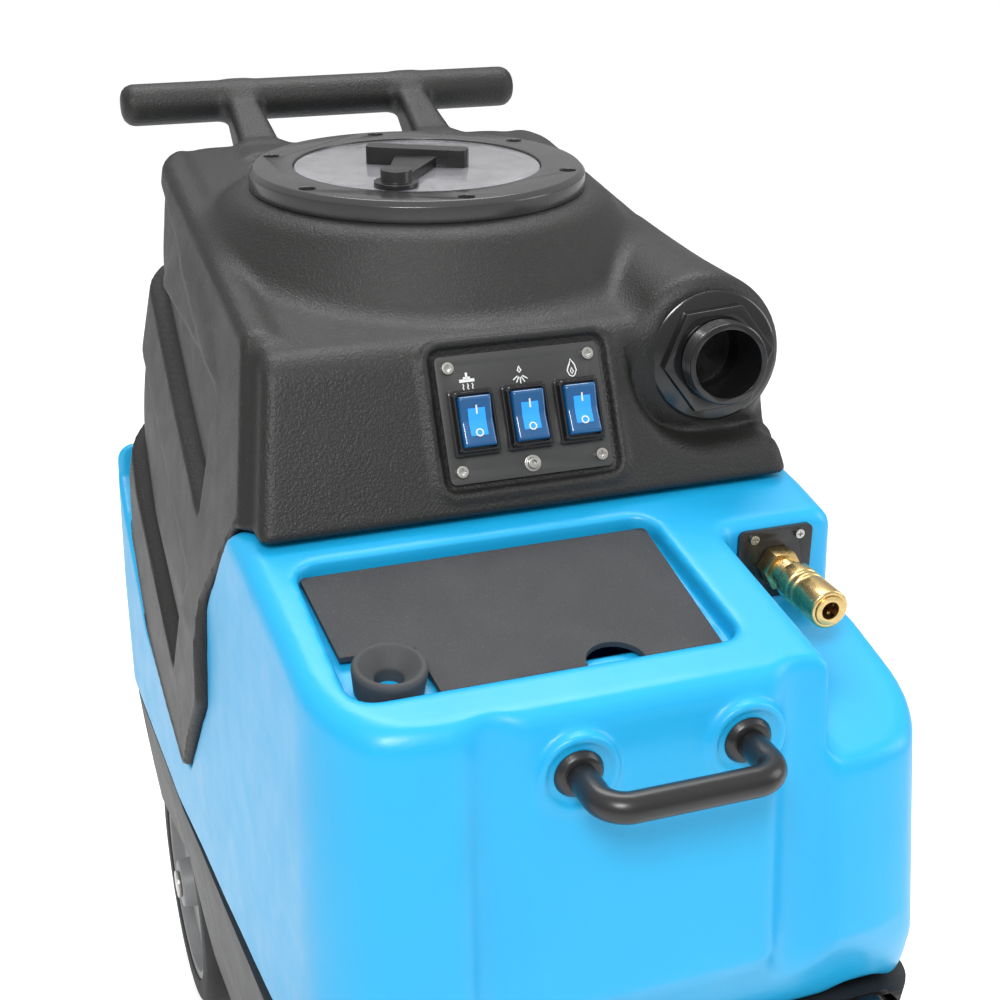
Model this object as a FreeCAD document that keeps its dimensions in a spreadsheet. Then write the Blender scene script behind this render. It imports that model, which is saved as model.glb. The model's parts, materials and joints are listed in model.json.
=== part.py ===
"""Portable carpet extractor: a black recovery tank saddled on a blue solution tank and a wheeled base.

+Z is up, +Y runs to the rear, X is across; the origin is on the floor under the middle of the machine.
All sizes are millimetres and live in the spreadsheet "Dims".
"""
import FreeCAD, Part
import math
import os
import Sketcher
from FreeCAD import Placement, Rotation, Vector

X_AXIS = Vector(1, 0, 0)
Y_AXIS = Vector(0, 1, 0)
Z_AXIS = Vector(0, 0, 1)
SIDES = {"left": -1, "right": 1}

doc = FreeCAD.newDocument("carpet_extractor")
sheet = doc.addObject("Spreadsheet::Sheet", "Dims")

DRIVING = [
    # tanks and base
    ("wall", 5, "moulded wall thickness"),
    ("louvre_depth", 12, "depth of the shingled channels in the sides"),
    ("tank_gap", 1.5, "gap between the two tanks"),
    ("face_y", -169, "front face of the recovery tank, lower edge"),
    ("face_z", 720, "height of that edge"),
    ("face_recline", 26.7, "the front face leans back by this angle"),
    ("face_height", 122, "front face, measured up the slope"),
    ("rear_y", 311, "rear wall of the recovery tank at its top"),
    ("rear_z", 886, "height of the recovery tank at the rear"),
    ("deck_slope", 8, "fall of the blue deck towards the front"),
    ("base_z", 140, "underside of the base"),
    # lid of the recovery tank
    ("lid_y", 110, "centre of the round lid"),
    ("drum_top_z", 889, "flat top of the drum under the lid"),
    ("drum_top_radius", 147, "drum radius at the top"),
    ("drum_foot_radius", 188, "drum radius where it meets the tank"),
    ("drum_height", 47, "height of the drum"),
    ("ring_radius", 134, "lid ring, outside"),
    ("ring_height", 16, "lid ring"),
    ("lid_radius", 98.5, "clear lid"),
    ("lid_thickness", 6, "clear lid"),
    ("ledge_radius", 90, "mouth inside the lid ring"),
    ("ring_bolt_radius", 121, "bolt circle of the lid ring"),
    # carrying bar
    ("bar_y", 412, "carrying bar behind the tank"),
    ("bar_z", 908, "carrying bar"),
    ("bar_radius", 19, "carrying bar"),
    ("bar_length", 382, "carrying bar"),
    ("post_x", 82, "posts of the carrying bar"),
    ("post_width", 27, "posts of the carrying bar"),
    # hose inlet
    ("inlet_x", 151, "hose inlet"),
    ("inlet_y", -122, "face that the hose inlet stands on"),
    ("inlet_z", 802, "hose inlet"),
    ("inlet_radius", 30, "hose inlet, outside"),
    ("inlet_bore", 25, "hose inlet, inside"),
    ("inlet_length", 34, "hose inlet, from its flange"),
    ("nacelle_radius", 58, "round housing behind the hose inlet"),
    # switch panel
    ("panel_u", 69, "panel centre, measured up the front face"),
    ("plate_width", 121, "switch plate"),
    ("plate_height", 89, "switch plate"),
    ("plate_thickness", 3, "switch plate"),
    ("switch_pitch", 39, "switch spacing"),
    ("switch_width", 33, "switch bezel"),
    ("switch_height", 46, "switch bezel"),
    ("rocker_width", 24, "rocker"),
    ("rocker_height", 36, "rocker"),
    ("rocker_gap", 1.5, "room round a rocker, so that it can tip"),
    # access lid in the deck
    ("hatch_x", -52, "access lid centre"),
    ("hatch_width", 248, "access lid"),
    ("hatch_length", 134, "access lid"),
    ("hatch_hinge_y", -190, "rear edge of the access lid"),
    ("hatch_hinge_z", 699, "underside of the access lid at its rear edge"),
    ("hatch_thickness", 4, "access lid"),
    ("recess_depth", 3, "recess floor below the access lid"),
    ("recess_left", 180, "recess wall, left of the middle"),
    ("recess_right", 76, "recess wall, right of the middle"),
    ("recess_front", 142, "recess wall in front of the rear edge of the lid"),
    ("recess_rear", 8, "recess wall behind the rear edge of the lid"),
    ("rod_along", 2.5, "hinge rod behind the rear edge of the lid"),
    ("rod_up", 1, "hinge rod above the underside of the lid"),
    ("rod_radius", 1.6, "hinge rod"),
    ("barrel_radius", 3.2, "rolled rear edge of the lid, round the rod"),
    # raised front panel
    ("valley_left", -108, "valley beside the raised front panel"),
    ("valley_right", 99, "valley beside the raised front panel"),
    # front handle
    ("handle_x", 56, "handle legs"),
    ("handle_z", 647, "handle legs"),
    ("handle_root_y", -379.5, "handle flanges"),
    ("handle_bar_y", -422, "handle cross bar"),
    ("handle_radius", 9.5, "handle tube"),
    # quick coupler
    ("coupler_x", 161, "quick coupler"),
    ("coupler_z", 676, "quick coupler"),
    ("pocket_wall_y", -214, "wall that carries the coupler"),
    ("sleeve_radius", 14, "coupler sleeve"),
    ("coupler_bore", 6.5, "coupler socket"),
    # drain
    ("drain_x", 168, "drain cap"),
    ("drain_y", -372, "drain cap"),
    ("drain_z", 386, "drain cap"),
    ("drain_radius", 28, "drain cap"),
    # running gear
    ("wheel_radius", 127, "rear wheel"),
    ("wheel_width", 40, "rear wheel"),
    ("wheel_x", 188, "rear wheel centre"),
    ("axle_y", 290, "rear axle"),
    ("axle_radius", 8, "rear axle"),
    ("caster_x", 140, "caster swivel"),
    ("caster_y", -285, "caster swivel"),
    ("caster_radius", 50, "caster wheel"),
    ("caster_width", 24, "caster wheel"),
    ("caster_trail", 28, "caster wheel behind its swivel"),
    ("running_gap", 0.05, "radial clearance of every turning fit"),
    ("free_gap", 0.5, "gap between moving pieces that don't touch"),
]

for row, (alias, value, note) in enumerate(DRIVING, start=1):
    sheet.set("A%d" % row, note)
    sheet.set("B%d" % row, str(value))
    sheet.setAlias("B%d" % row, alias)
doc.recompute()

face_tilt = 90 - sheet.face_recline
pieces = []


# ---------------------------------------------------------------- helpers

def number(text):
    """Value of an expression over the sheet."""
    value = sheet.evalExpression(str(text).replace("Dims.", ""))
    return float(getattr(value, "Value", value))


def keep(obj, label):
    """Name a finished sub-part and put it on the list that is written out."""
    obj.Label = label
    pieces.append(obj)
    return obj


def put(obj, x="0", y="0", z="0", turn=Rotation()):
    """Place a sub-part: x, y and z are expressions over the sheet."""
    obj.Placement = Placement(Vector(), turn)
    for letter, text in zip("xyz", (x, y, z)):
        obj.setExpression(".Placement.Base." + letter, str(text))
    return obj


def origin_plane(body, role):
    for feature in body.Origin.OriginFeatures:
        if feature.Role == role:
            return feature
    raise ValueError(role)


def new_sketch(body, role):
    sketch = body.newObject("Sketcher::SketchObject", body.Name + "_sketch")
    sketch.AttachmentSupport = (origin_plane(body, role), "")
    sketch.MapMode = "FlatFace"
    return sketch


def add_outline(sketch, points):
    """Closed outline; both coordinates of every corner are bound to the sheet."""
    values = [Vector(number(a), number(b), 0) for a, b in points]
    first = sketch.GeometryCount
    count = len(points)
    for i in range(count):
        sketch.addGeometry(Part.LineSegment(values[i], values[(i + 1) % count]))
    for i in range(count):
        sketch.addConstraint(
            Sketcher.Constraint("Coincident", first + i, 2, first + (i + 1) % count, 1))
    for i, (across, along) in enumerate(points):
        for kind, text, value in (("DistanceX", across, values[i].x), ("DistanceY", along, values[i].y)):
            index = sketch.addConstraint(Sketcher.Constraint(kind, -1, 1, first + i, 1, value))
            sketch.setExpression("Constraints[%d]" % index, str(text))


def add_circle(sketch, across, along, radius):
    """Circle whose centre and radius are bound to the sheet."""
    centre = Vector(number(across), number(along), 0)
    index = sketch.addGeometry(Part.Circle(centre, Z_AXIS, number(radius)))
    for kind, text, value in (("DistanceX", across, centre.x), ("DistanceY", along, centre.y)):
        bound = sketch.addConstraint(Sketcher.Constraint(kind, -1, 1, index, 3, value))
        sketch.setExpression("Constraints[%d]" % bound, str(text))
    bound = sketch.addConstraint(Sketcher.Constraint("Radius", index, number(radius)))
    sketch.setExpression("Constraints[%d]" % bound, str(radius))


def turned(label, points):
    """Piece turned about its own Z axis from an outline in radius and height."""
    body = doc.addObject("PartDesign::Body", label)
    sketch = new_sketch(body, "XZ_Plane")
    add_outline(sketch, points)
    feature = body.newObject("PartDesign::Revolution", label + "_turned")
    feature.Profile = sketch
    feature.ReferenceAxis = (sketch, ["V_Axis"])
    feature.Angle = 360
    body.Tip = feature
    return keep(body, label)


def padded(label, points, thickness, circles=()):
    """Flat piece: an outline in its own XY plane, with round holes, padded upwards."""
    body = doc.addObject("PartDesign::Body", label)
    sketch = new_sketch(body, "XY_Plane")
    add_outline(sketch, points)
    for circle in circles:
        add_circle(sketch, *circle)
    feature = body.newObject("PartDesign::Pad", label + "_pad")
    feature.Profile = sketch
    feature.setExpression("Length", str(thickness))
    body.Tip = feature
    return keep(body, label)


def rounded_edges(body, chosen, radius, label):
    """Fillet the edges of a body's tip that the test picks."""
    doc.recompute()
    tip = body.Tip
    names = ["Edge%d" % (i + 1) for i, edge in enumerate(tip.Shape.Edges) if chosen(edge)]
    fillet = body.newObject("PartDesign::Fillet", label + "_rounded")
    fillet.Base = (tip, names)
    fillet.setExpression("Radius", str(radius))
    body.Tip = fillet
    return body


def along_z(edge):
    """True for a straight edge parallel to Z."""
    if edge.Curve.TypeId != "Part::GeomLine":
        return False
    run = edge.Vertexes[-1].Point - edge.Vertexes[0].Point
    return abs(run.z) > 0.99 * run.Length


def rectangle(width, height):
    """Corners of a rectangle centred on its own origin."""
    w, h = "(%s) / 2" % width, "(%s) / 2" % height
    return [("-" + w, "-" + h), (w, "-" + h), (w, h), ("-" + w, h)]


def primitive(kind, name, **sizes):
    """Part primitive whose sizes are bound to the sheet."""
    obj = doc.addObject("Part::" + kind, name)
    for prop, text in sizes.items():
        obj.setExpression(prop, str(text))
    return obj


def joined(name, shapes):
    obj = doc.addObject("Part::MultiFuse", name)
    obj.Shapes = shapes
    return obj


def cut(name, base, tool):
    obj = doc.addObject("Part::Cut", name)
    obj.Base = base
    obj.Tool = tool
    return obj


def group(label, members):
    """Identical separate solids that share one node."""
    obj = doc.addObject("Part::Compound", label)
    obj.Links = members
    return keep(obj, label)


def screw(name, head_radius, head_height, shank_radius, shank_length):
    """Pan-head screw with a cross recess: the head starts at z = 0, the shank runs down."""
    head = primitive("Cylinder", name + "_head", Radius=head_radius, Height=head_height)
    shank = primitive("Cylinder", name + "_shank", Radius=shank_radius, Height=shank_length)
    put(shank, z="-(%s)" % shank_length)
    arms = []
    for arm, (lx, ly) in enumerate(((1.2, 0.28), (0.28, 1.2))):
        size_x, size_y = lx * head_radius, ly * head_radius
        box = primitive("Box", "%s_slot%d" % (name, arm), Length=size_x, Width=size_y, Height=head_height)
        put(box, x=-size_x / 2, y=-size_y / 2, z=head_height * 0.45)
        arms.append(box)
    return cut(name, joined(name + "_blank", [head, shank]), joined(name + "_cross", arms))


def modelled(label, shape):
    """Sub-part whose shape comes from Part's own functions, with sizes read from the sheet."""
    obj = doc.addObject("Part::Feature", label)
    obj.Shape = shape
    return keep(obj, label)


def rounded_wire(points, radii):
    """Closed planar wire of straight runs joined by tangent arcs."""
    corners = []
    count = len(points)
    for i, corner in enumerate(points):
        before = (points[i - 1] - corner).normalize()
        after = (points[(i + 1) % count] - corner).normalize()
        half = before.getAngle(after) / 2
        reach = radii[i] / math.tan(half)
        middle = corner + (before + after).normalize() * (radii[i] / math.sin(half) - radii[i])
        corners.append((corner + before * reach, middle, corner + after * reach))
    edges = []
    for i, (start, middle, end) in enumerate(corners):
        edges.append(Part.Arc(start, middle, end).toShape())
        edges.append(Part.LineSegment(end, corners[(i + 1) % count][0]).toShape())
    return Part.Wire(edges)


def side_face(points, radius=3.0):
    """Face in the middle plane from (y, z) corners."""
    vectors = [Vector(0, y, z) for y, z in points]
    return Part.Face(rounded_wire(vectors, [radius] * len(vectors)))


def across(face, half_width):
    """Side face swept across the machine."""
    moved = face.copy()
    moved.translate(Vector(-half_width, 0, 0))
    return moved.extrude(Vector(2 * half_width, 0, 0))


def plan_loft(sections):
    """Solid through horizontal sections: each is (z, [(x, y), ...] for the right side, radii)."""
    wires = []
    for z, right, radii in sections:
        left = [(-x, y) for x, y in reversed(right)]
        points = [Vector(x, y, z) for x, y in right + left]
        wires.append(rounded_wire(points, radii + radii[::-1]))
    return Part.makeLoft(wires, True, False)


def shrunk(sections, wall):
    """The same sections, moved in by the wall."""
    result = []
    for z, right, radii in sections:
        front = min(y for x, y in right)
        inner = [(x - wall, y + wall if y == front else y - wall) for x, y in right]
        result.append((z, inner, [max(r - wall, 4.0) for r in radii]))
    return result


def pipe(points, bend_radius, outer, inner=0.0):
    """Round tube along straight runs joined by tangent arcs."""
    edges = []
    start = points[0]
    for before, corner, after in zip(points, points[1:], points[2:]):
        back = (before - corner).normalize()
        ahead = (after - corner).normalize()
        half = back.getAngle(ahead) / 2
        reach = bend_radius / math.tan(half)
        middle = corner + (back + ahead).normalize() * (bend_radius / math.sin(half) - bend_radius)
        entry = corner + back * reach
        leave = corner + ahead * reach
        edges.append(Part.LineSegment(start, entry).toShape())
        edges.append(Part.Arc(entry, middle, leave).toShape())
        start = leave
    edges.append(Part.LineSegment(start, points[-1]).toShape())
    path = Part.Wire(edges)
    heading = (points[1] - points[0]).normalize()

    def swept(radius):
        ring = Part.Wire(Part.makeCircle(radius, points[0], heading))
        return path.makePipeShell([ring], True, False)

    solid = swept(outer)
    return solid.cut(swept(inner)) if inner else solid


def cylinder(radius, length, start, heading=Z_AXIS):
    return Part.makeCylinder(radius, length, start, heading)


def box(x, y, z):
    """Box between pairs of limits."""
    return Part.makeBox(x[1] - x[0], y[1] - y[0], z[1] - z[0], Vector(x[0], y[0], z[0]))


# ---------------------------------------------------------------- places shared by several pieces

face_lean = math.radians(sheet.face_recline)
face_top_y = sheet.face_y + sheet.face_height * math.sin(face_lean)
face_top_z = sheet.face_z + sheet.face_height * math.cos(face_lean)
panel_y = sheet.face_y + sheet.panel_u * math.sin(face_lean)
panel_z = sheet.face_z + sheet.panel_u * math.cos(face_lean)
panel_turn = Rotation(X_AXIS, face_tilt)
deck_turn = Rotation(X_AXIS, sheet.deck_slope)
forward_turn = Rotation(X_AXIS, 90)
inlet_heading = Vector(-0.1, -0.987, 0.12)
inlet_turn = Rotation(Z_AXIS, inlet_heading)
inlet_centre = Vector(sheet.inlet_x, sheet.inlet_y, sheet.inlet_z)
lid_centre = Vector(0, sheet.lid_y, sheet.drum_top_z)
ring_screw_angles = [30 + 60 * i for i in range(6)]
standpipe_y = 230
float_y = 165
float_cage_z = 754.8
fan_case_z = 228.5


def on_panel(x, u, out):
    """Point on the switch panel: across, up the face and out of it."""
    return Placement(Vector(0, panel_y, panel_z), panel_turn).multVec(Vector(x, u, out))


# Outline of the recovery tank seen from the side; its underside is the saddle that rests on the blue tank.
saddle = [(336, 575), (312, 544), (223, 463), (126, 441), (40, 429), (-43, 538), (-51, 626), (-129, 720)]
recovery_profile = [(sheet.face_y, sheet.face_z), (face_top_y, face_top_z), (sheet.rear_y, sheet.rear_z)]
recovery_profile += saddle

# Half-width of the recovery tank at several heights, and its rear wall there.
recovery_levels = [(415, 231, 346), (590, 227, 341), (720, 206, 331), (829, 186, 322), (900, 176, 317)]
recovery_sections = [
    (z, [(half, -200), (half, rear)], [16.0, 62.0]) for z, half, rear in recovery_levels]

solution_profile = [
    (-374, 686), (-168, 715), (-129, 718), (0, 718), (352, 600), (376, 480), (376, 340),
    (112, 340), (19, 355), (-69, 365), (-211, 385), (-364, 413), (-399, 490)]
# Set-back of the shoulder behind the nose, and the straight back walls of the tank and the base.
corner_step = 45
tank_back = 382
base_back = 388

solution_sections = [
    (z, [(nose, -front), (shoulder, corner_step - front), (rear, tank_back)], [52.0, 70.0, 60.0])
    for z, nose, shoulder, rear, front in (
        (330, 165, 214, 236, 412), (460, 165, 214, 236, 410), (600, 162, 209, 233, 392),
        (725, 160, 204, 230, 376))]

base_profile = [
    (-378, 411), (-364, 411), (-211, 383), (-69, 363), (19, 353), (112, 338), (382, 338), (370, 300),
    (370, sheet.base_z), (-330, sheet.base_z), (-366, 180)]
base_sections = [
    (z, [(nose, -front), (shoulder, corner_step - front), (rear, base_back)], [48.0, 64.0, 55.0])
    for z, nose, shoulder, rear, front in (
        (110, 136, 180, 206, 372), (300, 160, 207, 230, 394), (420, 170, 219, 239, 404))]


def shelled(profile, sections, wall, inset=0):
    """Outer solid and the cavity inside it; the inset narrows the cavity further on both sides."""
    face = side_face(profile)
    outer = across(face, 300).common(plan_loft(sections))
    narrowed = [(z, [(x - inset, y) for x, y in right], radii) for z, right,
                radii in shrunk(sections, wall)]
    inner = across(face.makeOffset2D(-wall), 300).common(plan_loft(narrowed))
    return outer, inner


# Corners (y, z) of each shingled channel: upper rear, upper front, lower front, lower rear.
louvre_corners = [
    ((175, 838), (-32, 776), (12, 684), (256, 766)),
    ((250, 704), (-8, 620), (70, 500), (304, 622))]


def half_width(z):
    """Half-width of the recovery tank at a height."""
    for (low, w_low, _), (high, w_high, _) in zip(recovery_levels, recovery_levels[1:]):
        if low <= z <= high:
            return w_low + (w_high - w_low) * (z - low) / (high - low)
    return recovery_levels[-1][1]


def louvre(side, upper_rear, upper_front, lower_front, lower_rear, depth):
    """Wedge that sinks one shingled channel into the side wall, deepest along its lower edge."""
    wires = []
    for (upper_y, upper_z), (lower_y, lower_z) in ((upper_rear, lower_rear), (upper_front, lower_front)):
        corners = [
            Vector(side * (half_width(upper_z) + 0.5), upper_y, upper_z),
            Vector(side * (half_width(lower_z) - depth), lower_y, lower_z),
            Vector(side * 280, lower_y, lower_z),
            Vector(side * 280, upper_y, upper_z)]
        wires.append(Part.makePolygon(corners + corners[:1]))
    return Part.makeLoft(wires, True, True)


# ---------------------------------------------------------------- recovery tank and its lid

def recovery_tank():
    """Black tank with drum, hose housing, shingled sides and the carrying bar moulded on."""
    wall = sheet.wall
    outer, inner = shelled(recovery_profile, recovery_sections, wall, sheet.louvre_depth)
    for side in SIDES.values():
        for corners in louvre_corners:
            outer = outer.cut(louvre(side, *corners, sheet.louvre_depth))
    drum_foot = Vector(0, sheet.lid_y, sheet.drum_top_z - sheet.drum_height)
    drum = Part.makeCone(sheet.drum_foot_radius, sheet.drum_top_radius, sheet.drum_height, drum_foot)
    outer = outer.fuse(drum.common(plan_loft(recovery_sections)))
    inner = inner.fuse(Part.makeCone(
        sheet.drum_foot_radius - wall - 4, sheet.drum_top_radius - wall, sheet.drum_height - wall,
        drum_foot))

    nacelle_back = 190
    nacelle_nose = 12
    nacelle = cylinder(
        sheet.nacelle_radius, nacelle_back + nacelle_nose, inlet_centre - Y_AXIS * nacelle_nose, Y_AXIS)
    nacelle = nacelle.cut(cylinder(120, 60, inlet_centre, inlet_heading))
    tail = inlet_centre + Y_AXIS * nacelle_back
    nacelle = nacelle.fuse(Part.makeCone(sheet.nacelle_radius, 20, 110, tail, Y_AXIS))
    hollow_start = inlet_centre + Y_AXIS * (wall + 8)
    hollow = cylinder(sheet.nacelle_radius - wall, nacelle_back - 20, hollow_start, Y_AXIS)

    # scoop in front of the hose inlet, and a wall behind it
    scoop_corner = [(86, 745), (260, 745), (260, 900), (86, 900)]
    scoop_wire = rounded_wire([Vector(x, -300, z) for x, z in scoop_corner], [52.0, 4.0, 4.0, 4.0])
    scoop = Part.Face(scoop_wire).extrude(Y_AXIS * (sheet.inlet_y + 300))
    backing_wire = rounded_wire(
        [Vector(x, -300, z) for x, z in [(81, 740), (260, 740), (260, 900), (81, 900)]],
        [55.0, 4.0, 4.0, 4.0])
    backing = Part.Face(backing_wire).extrude(Y_AXIS * (sheet.inlet_y + wall + 300))
    elbow_room = cylinder(32, 110, Vector(156.6, -70, 690))
    inner = inner.cut(backing).fuse(hollow).fuse(elbow_room)
    outer = outer.cut(scoop).fuse(nacelle)

    # box behind the switch plate, sealed from the tank
    placed = Placement(Vector(0, panel_y, panel_z), panel_turn)
    switch_box = box((-60, 60), (-47, 44), (-52, 2))
    switch_hollow = box((-54, 54), (-41, 38), (-47, 2))
    recess = box((-67, 67), (-51, 51), (-4, 12))
    pocket_wall = box((-72, 72), (-56, 56), (-9, 2))
    for shape in (switch_box, switch_hollow, recess, pocket_wall):
        shape.Placement = placed
    inner = inner.cut(switch_box).cut(pocket_wall)

    tank = outer.cut(inner)
    tank = tank.cut(recess).cut(switch_hollow)
    tank = tank.cut(cylinder(sheet.ledge_radius, 40, lid_centre - Z_AXIS * 20))
    tank = tank.cut(cylinder(sheet.inlet_radius + 0.3, 37, inlet_centre - inlet_heading * 22,
                             inlet_heading))
    tank = tank.cut(cylinder(48.6, 14, inlet_centre, inlet_heading))
    for angle in ring_screw_angles:
        tank = tank.cut(cylinder(2.6, 20, ring_point(angle, sheet.drum_top_z - 12)))
    for x in (-52, 52):
        for u in (-36, 36):
            tank = tank.cut(cylinder(2.1, 16, on_panel(x, u, -14), panel_turn.multVec(Z_AXIS)))
    tank = tank.cut(cylinder(25.2, 60, Vector(0, standpipe_y, 440)))
    return tank.fuse(carrying_bar()).removeSplitter()


def ring_point(angle, z):
    """Point on the bolt circle of the lid ring."""
    turn = math.radians(angle)
    return Vector(sheet.ring_bolt_radius * math.cos(turn),
                  sheet.lid_y + sheet.ring_bolt_radius * math.sin(turn), z)


def carrying_bar():
    """Cross bar with rounded ends on two posts that rise from the rear of the tank."""
    half = sheet.bar_length / 2
    bar = cylinder(sheet.bar_radius, sheet.bar_length, Vector(-half, sheet.bar_y, sheet.bar_z), X_AXIS)
    ends = [edge for edge in bar.Edges if edge.Closed]
    shape = bar.makeFillet(sheet.bar_radius * 0.6, ends)
    for side in SIDES.values():
        wires = []
        foot = (sheet.rear_y - 8, 832, 883, 20)
        head = (sheet.bar_y, 893, 922, sheet.post_width / 2)
        for y, low, high, half_post in (foot, head):
            x = side * sheet.post_x
            corners = [Vector(x - half_post, y, low), Vector(x + half_post, y, low),
                       Vector(x + half_post, y, high), Vector(x - half_post, y, high)]
            wires.append(Part.makePolygon(corners + corners[:1]))
        shape = shape.fuse(Part.makeLoft(wires, True, True))
    return shape


modelled("recovery_tank", recovery_tank())


def lid_pieces():
    """Ring, screws, gasket, clear lid and its lever."""
    ring = turned("lid_ring", [
        ("Dims.ledge_radius", "0"), ("Dims.ring_radius", "0"),
        ("Dims.ring_radius", "Dims.ring_height - 4"), ("Dims.ring_radius - 4", "Dims.ring_height"),
        ("Dims.lid_radius + Dims.free_gap", "Dims.ring_height"),
        ("Dims.lid_radius + Dims.free_gap", "Dims.ring_height - 9"),
        ("Dims.ledge_radius", "Dims.ring_height - 9")])
    holes = new_sketch(ring, "XY_Plane")
    for angle in ring_screw_angles:
        x = "Dims.ring_bolt_radius * cos(%d deg)" % angle
        y = "Dims.ring_bolt_radius * sin(%d deg)" % angle
        add_circle(holes, x, y, "6.5")
    sunk = ring.newObject("PartDesign::Pocket", "lid_ring_sunk")
    sunk.Profile = holes
    sunk.Midplane = True
    sunk.Length = 200
    sunk.Reversed = True
    ring.Tip = sunk
    put(ring, y="Dims.lid_y", z="Dims.drum_top_z")

    screws = []
    for i, angle in enumerate(ring_screw_angles):
        item = screw("lid_ring_screw%d" % i, 6.4, 5, 2.5, 11)
        point = ring_point(angle, 0)
        screws.append(put(item, x=point.x, y=point.y, z="Dims.drum_top_z", turn=Rotation(Z_AXIS, angle)))
    group("lid_ring_screws", screws)

    gasket = turned("lid_gasket", [
        ("Dims.ledge_radius + 1", "0"), ("Dims.lid_radius - 1", "0"),
        ("Dims.lid_radius - 1", "1.5"), ("Dims.ledge_radius + 1", "1.5")])
    put(gasket, y="Dims.lid_y", z="Dims.drum_top_z + Dims.ring_height - 9")

    lid = turned("clear_lid", [
        ("0", "0"), ("Dims.ledge_radius - 3", "0"), ("Dims.ledge_radius - 3", "-4"),
        ("Dims.ledge_radius - 1", "-4"), ("Dims.ledge_radius - 1", "0"), ("Dims.lid_radius", "0"),
        ("Dims.lid_radius", "Dims.lid_thickness - 1"), ("Dims.lid_radius - 1", "Dims.lid_thickness"),
        ("0", "Dims.lid_thickness")])
    put(lid, y="Dims.lid_y", z="Dims.drum_top_z + Dims.ring_height - 9 + 1.8")

    lever = lid_lever()
    modelled("lid_handle", lever)


def lid_lever():
    """T-shaped lever on the lid: a cross bar at the centre and a ribbed stem to a round hub at the rim."""
    top = sheet.drum_top_z + sheet.ring_height - 9 + 1.8 + sheet.lid_thickness
    hub_reach = 78
    bar = box((-41, 41), (-8, 8), (0, 14))
    shape = bar.makeFillet(5, [edge for edge in bar.Edges if along_z(edge)])
    stem = [Vector(-17, -5, 0), Vector(17, -5, 0), Vector(8, -hub_reach, 0), Vector(-8, -hub_reach, 0)]
    shape = shape.fuse(Part.Face(Part.makePolygon(stem + stem[:1])).extrude(Z_AXIS * 8))
    shape = shape.fuse(cylinder(17, 4, Vector(0, -hub_reach, 0)))
    shape = shape.fuse(cylinder(12, 13, Vector(0, -hub_reach, 0)))
    shape.rotate(Vector(), Z_AXIS, -29)
    shape.translate(Vector(0, sheet.lid_y, top))
    return shape


lid_pieces()


def inlet_pieces():
    """Threaded hose inlet with its nut, and the elbow that turns the flow down inside the tank."""
    fitting = turned("hose_inlet", [
        ("Dims.inlet_bore", "-10"), ("Dims.inlet_radius", "-10"), ("Dims.inlet_radius", "0"),
        ("48", "0"), ("48", "4"), ("46", "5"), ("Dims.inlet_radius - 1", "5")]
        + [(radius, height) for step in range(5) for radius, height in (
            ("Dims.inlet_radius - 1", "18 + %g" % (step * 3)),
            ("Dims.inlet_radius", "19 + %g" % (step * 3)),
            ("Dims.inlet_radius", "20 + %g" % (step * 3)),
            ("Dims.inlet_radius - 1", "20.6 + %g" % (step * 3)))]
        + [("Dims.inlet_radius - 1", "Dims.inlet_length"), ("Dims.inlet_bore", "Dims.inlet_length")])
    put(fitting, x="Dims.inlet_x", y="Dims.inlet_y", z="Dims.inlet_z", turn=inlet_turn)

    hexagon = [("42 * cos(%d deg)" % (60 * i), "42 * sin(%d deg)" % (60 * i)) for i in range(6)]
    nut = padded("hose_inlet_nut", hexagon, 10, [("0", "0", "Dims.inlet_radius - 0.9")])
    shift = inlet_centre + inlet_heading * 5.2
    put(nut, x=shift.x, y=shift.y, z=shift.z, turn=inlet_turn)

    start = inlet_centre - inlet_heading * 10.5
    elbow = pipe([start, start - inlet_heading * 45, start - inlet_heading * 45 - Z_AXIS * 70], 36, 30, 26)
    modelled("inlet_elbow", elbow)


inlet_pieces()


def float_pieces():
    """Vacuum standpipe that hooks over a caged float ball, which shuts it when the tank is full."""
    route = [Vector(0, standpipe_y, fan_case_z + 50.5), Vector(0, standpipe_y, 850),
             Vector(0, float_y, 850), Vector(0, float_y, float_cage_z + 63.2)]
    modelled("vacuum_standpipe", pipe(route, 30, 25, 22))
    cage = modelled("float_cage", float_cage())
    put(cage, y=float_y, z=float_cage_z)
    ball = primitive("Sphere", "float_ball", Radius=20)
    keep(ball, "float_ball")
    put(ball, y=float_y, z=float_cage_z + 10.6)


def float_cage():
    """Open cage: foot ring, four ribs and a head ring."""
    shape = cylinder(30, 4, Vector()).cut(cylinder(19, 4, Vector()))
    shape = shape.fuse(cylinder(30, 3, Vector(0, 0, 60)).cut(cylinder(12, 3, Vector(0, 0, 60))))
    for i in range(4):
        rib = box((22.5, 30), (-2, 2), (0, 63))
        rib.rotate(Vector(), Z_AXIS, 45 + 90 * i)
        shape = shape.fuse(rib)
    return shape


float_pieces()


# ---------------------------------------------------------------- switch panel

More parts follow.
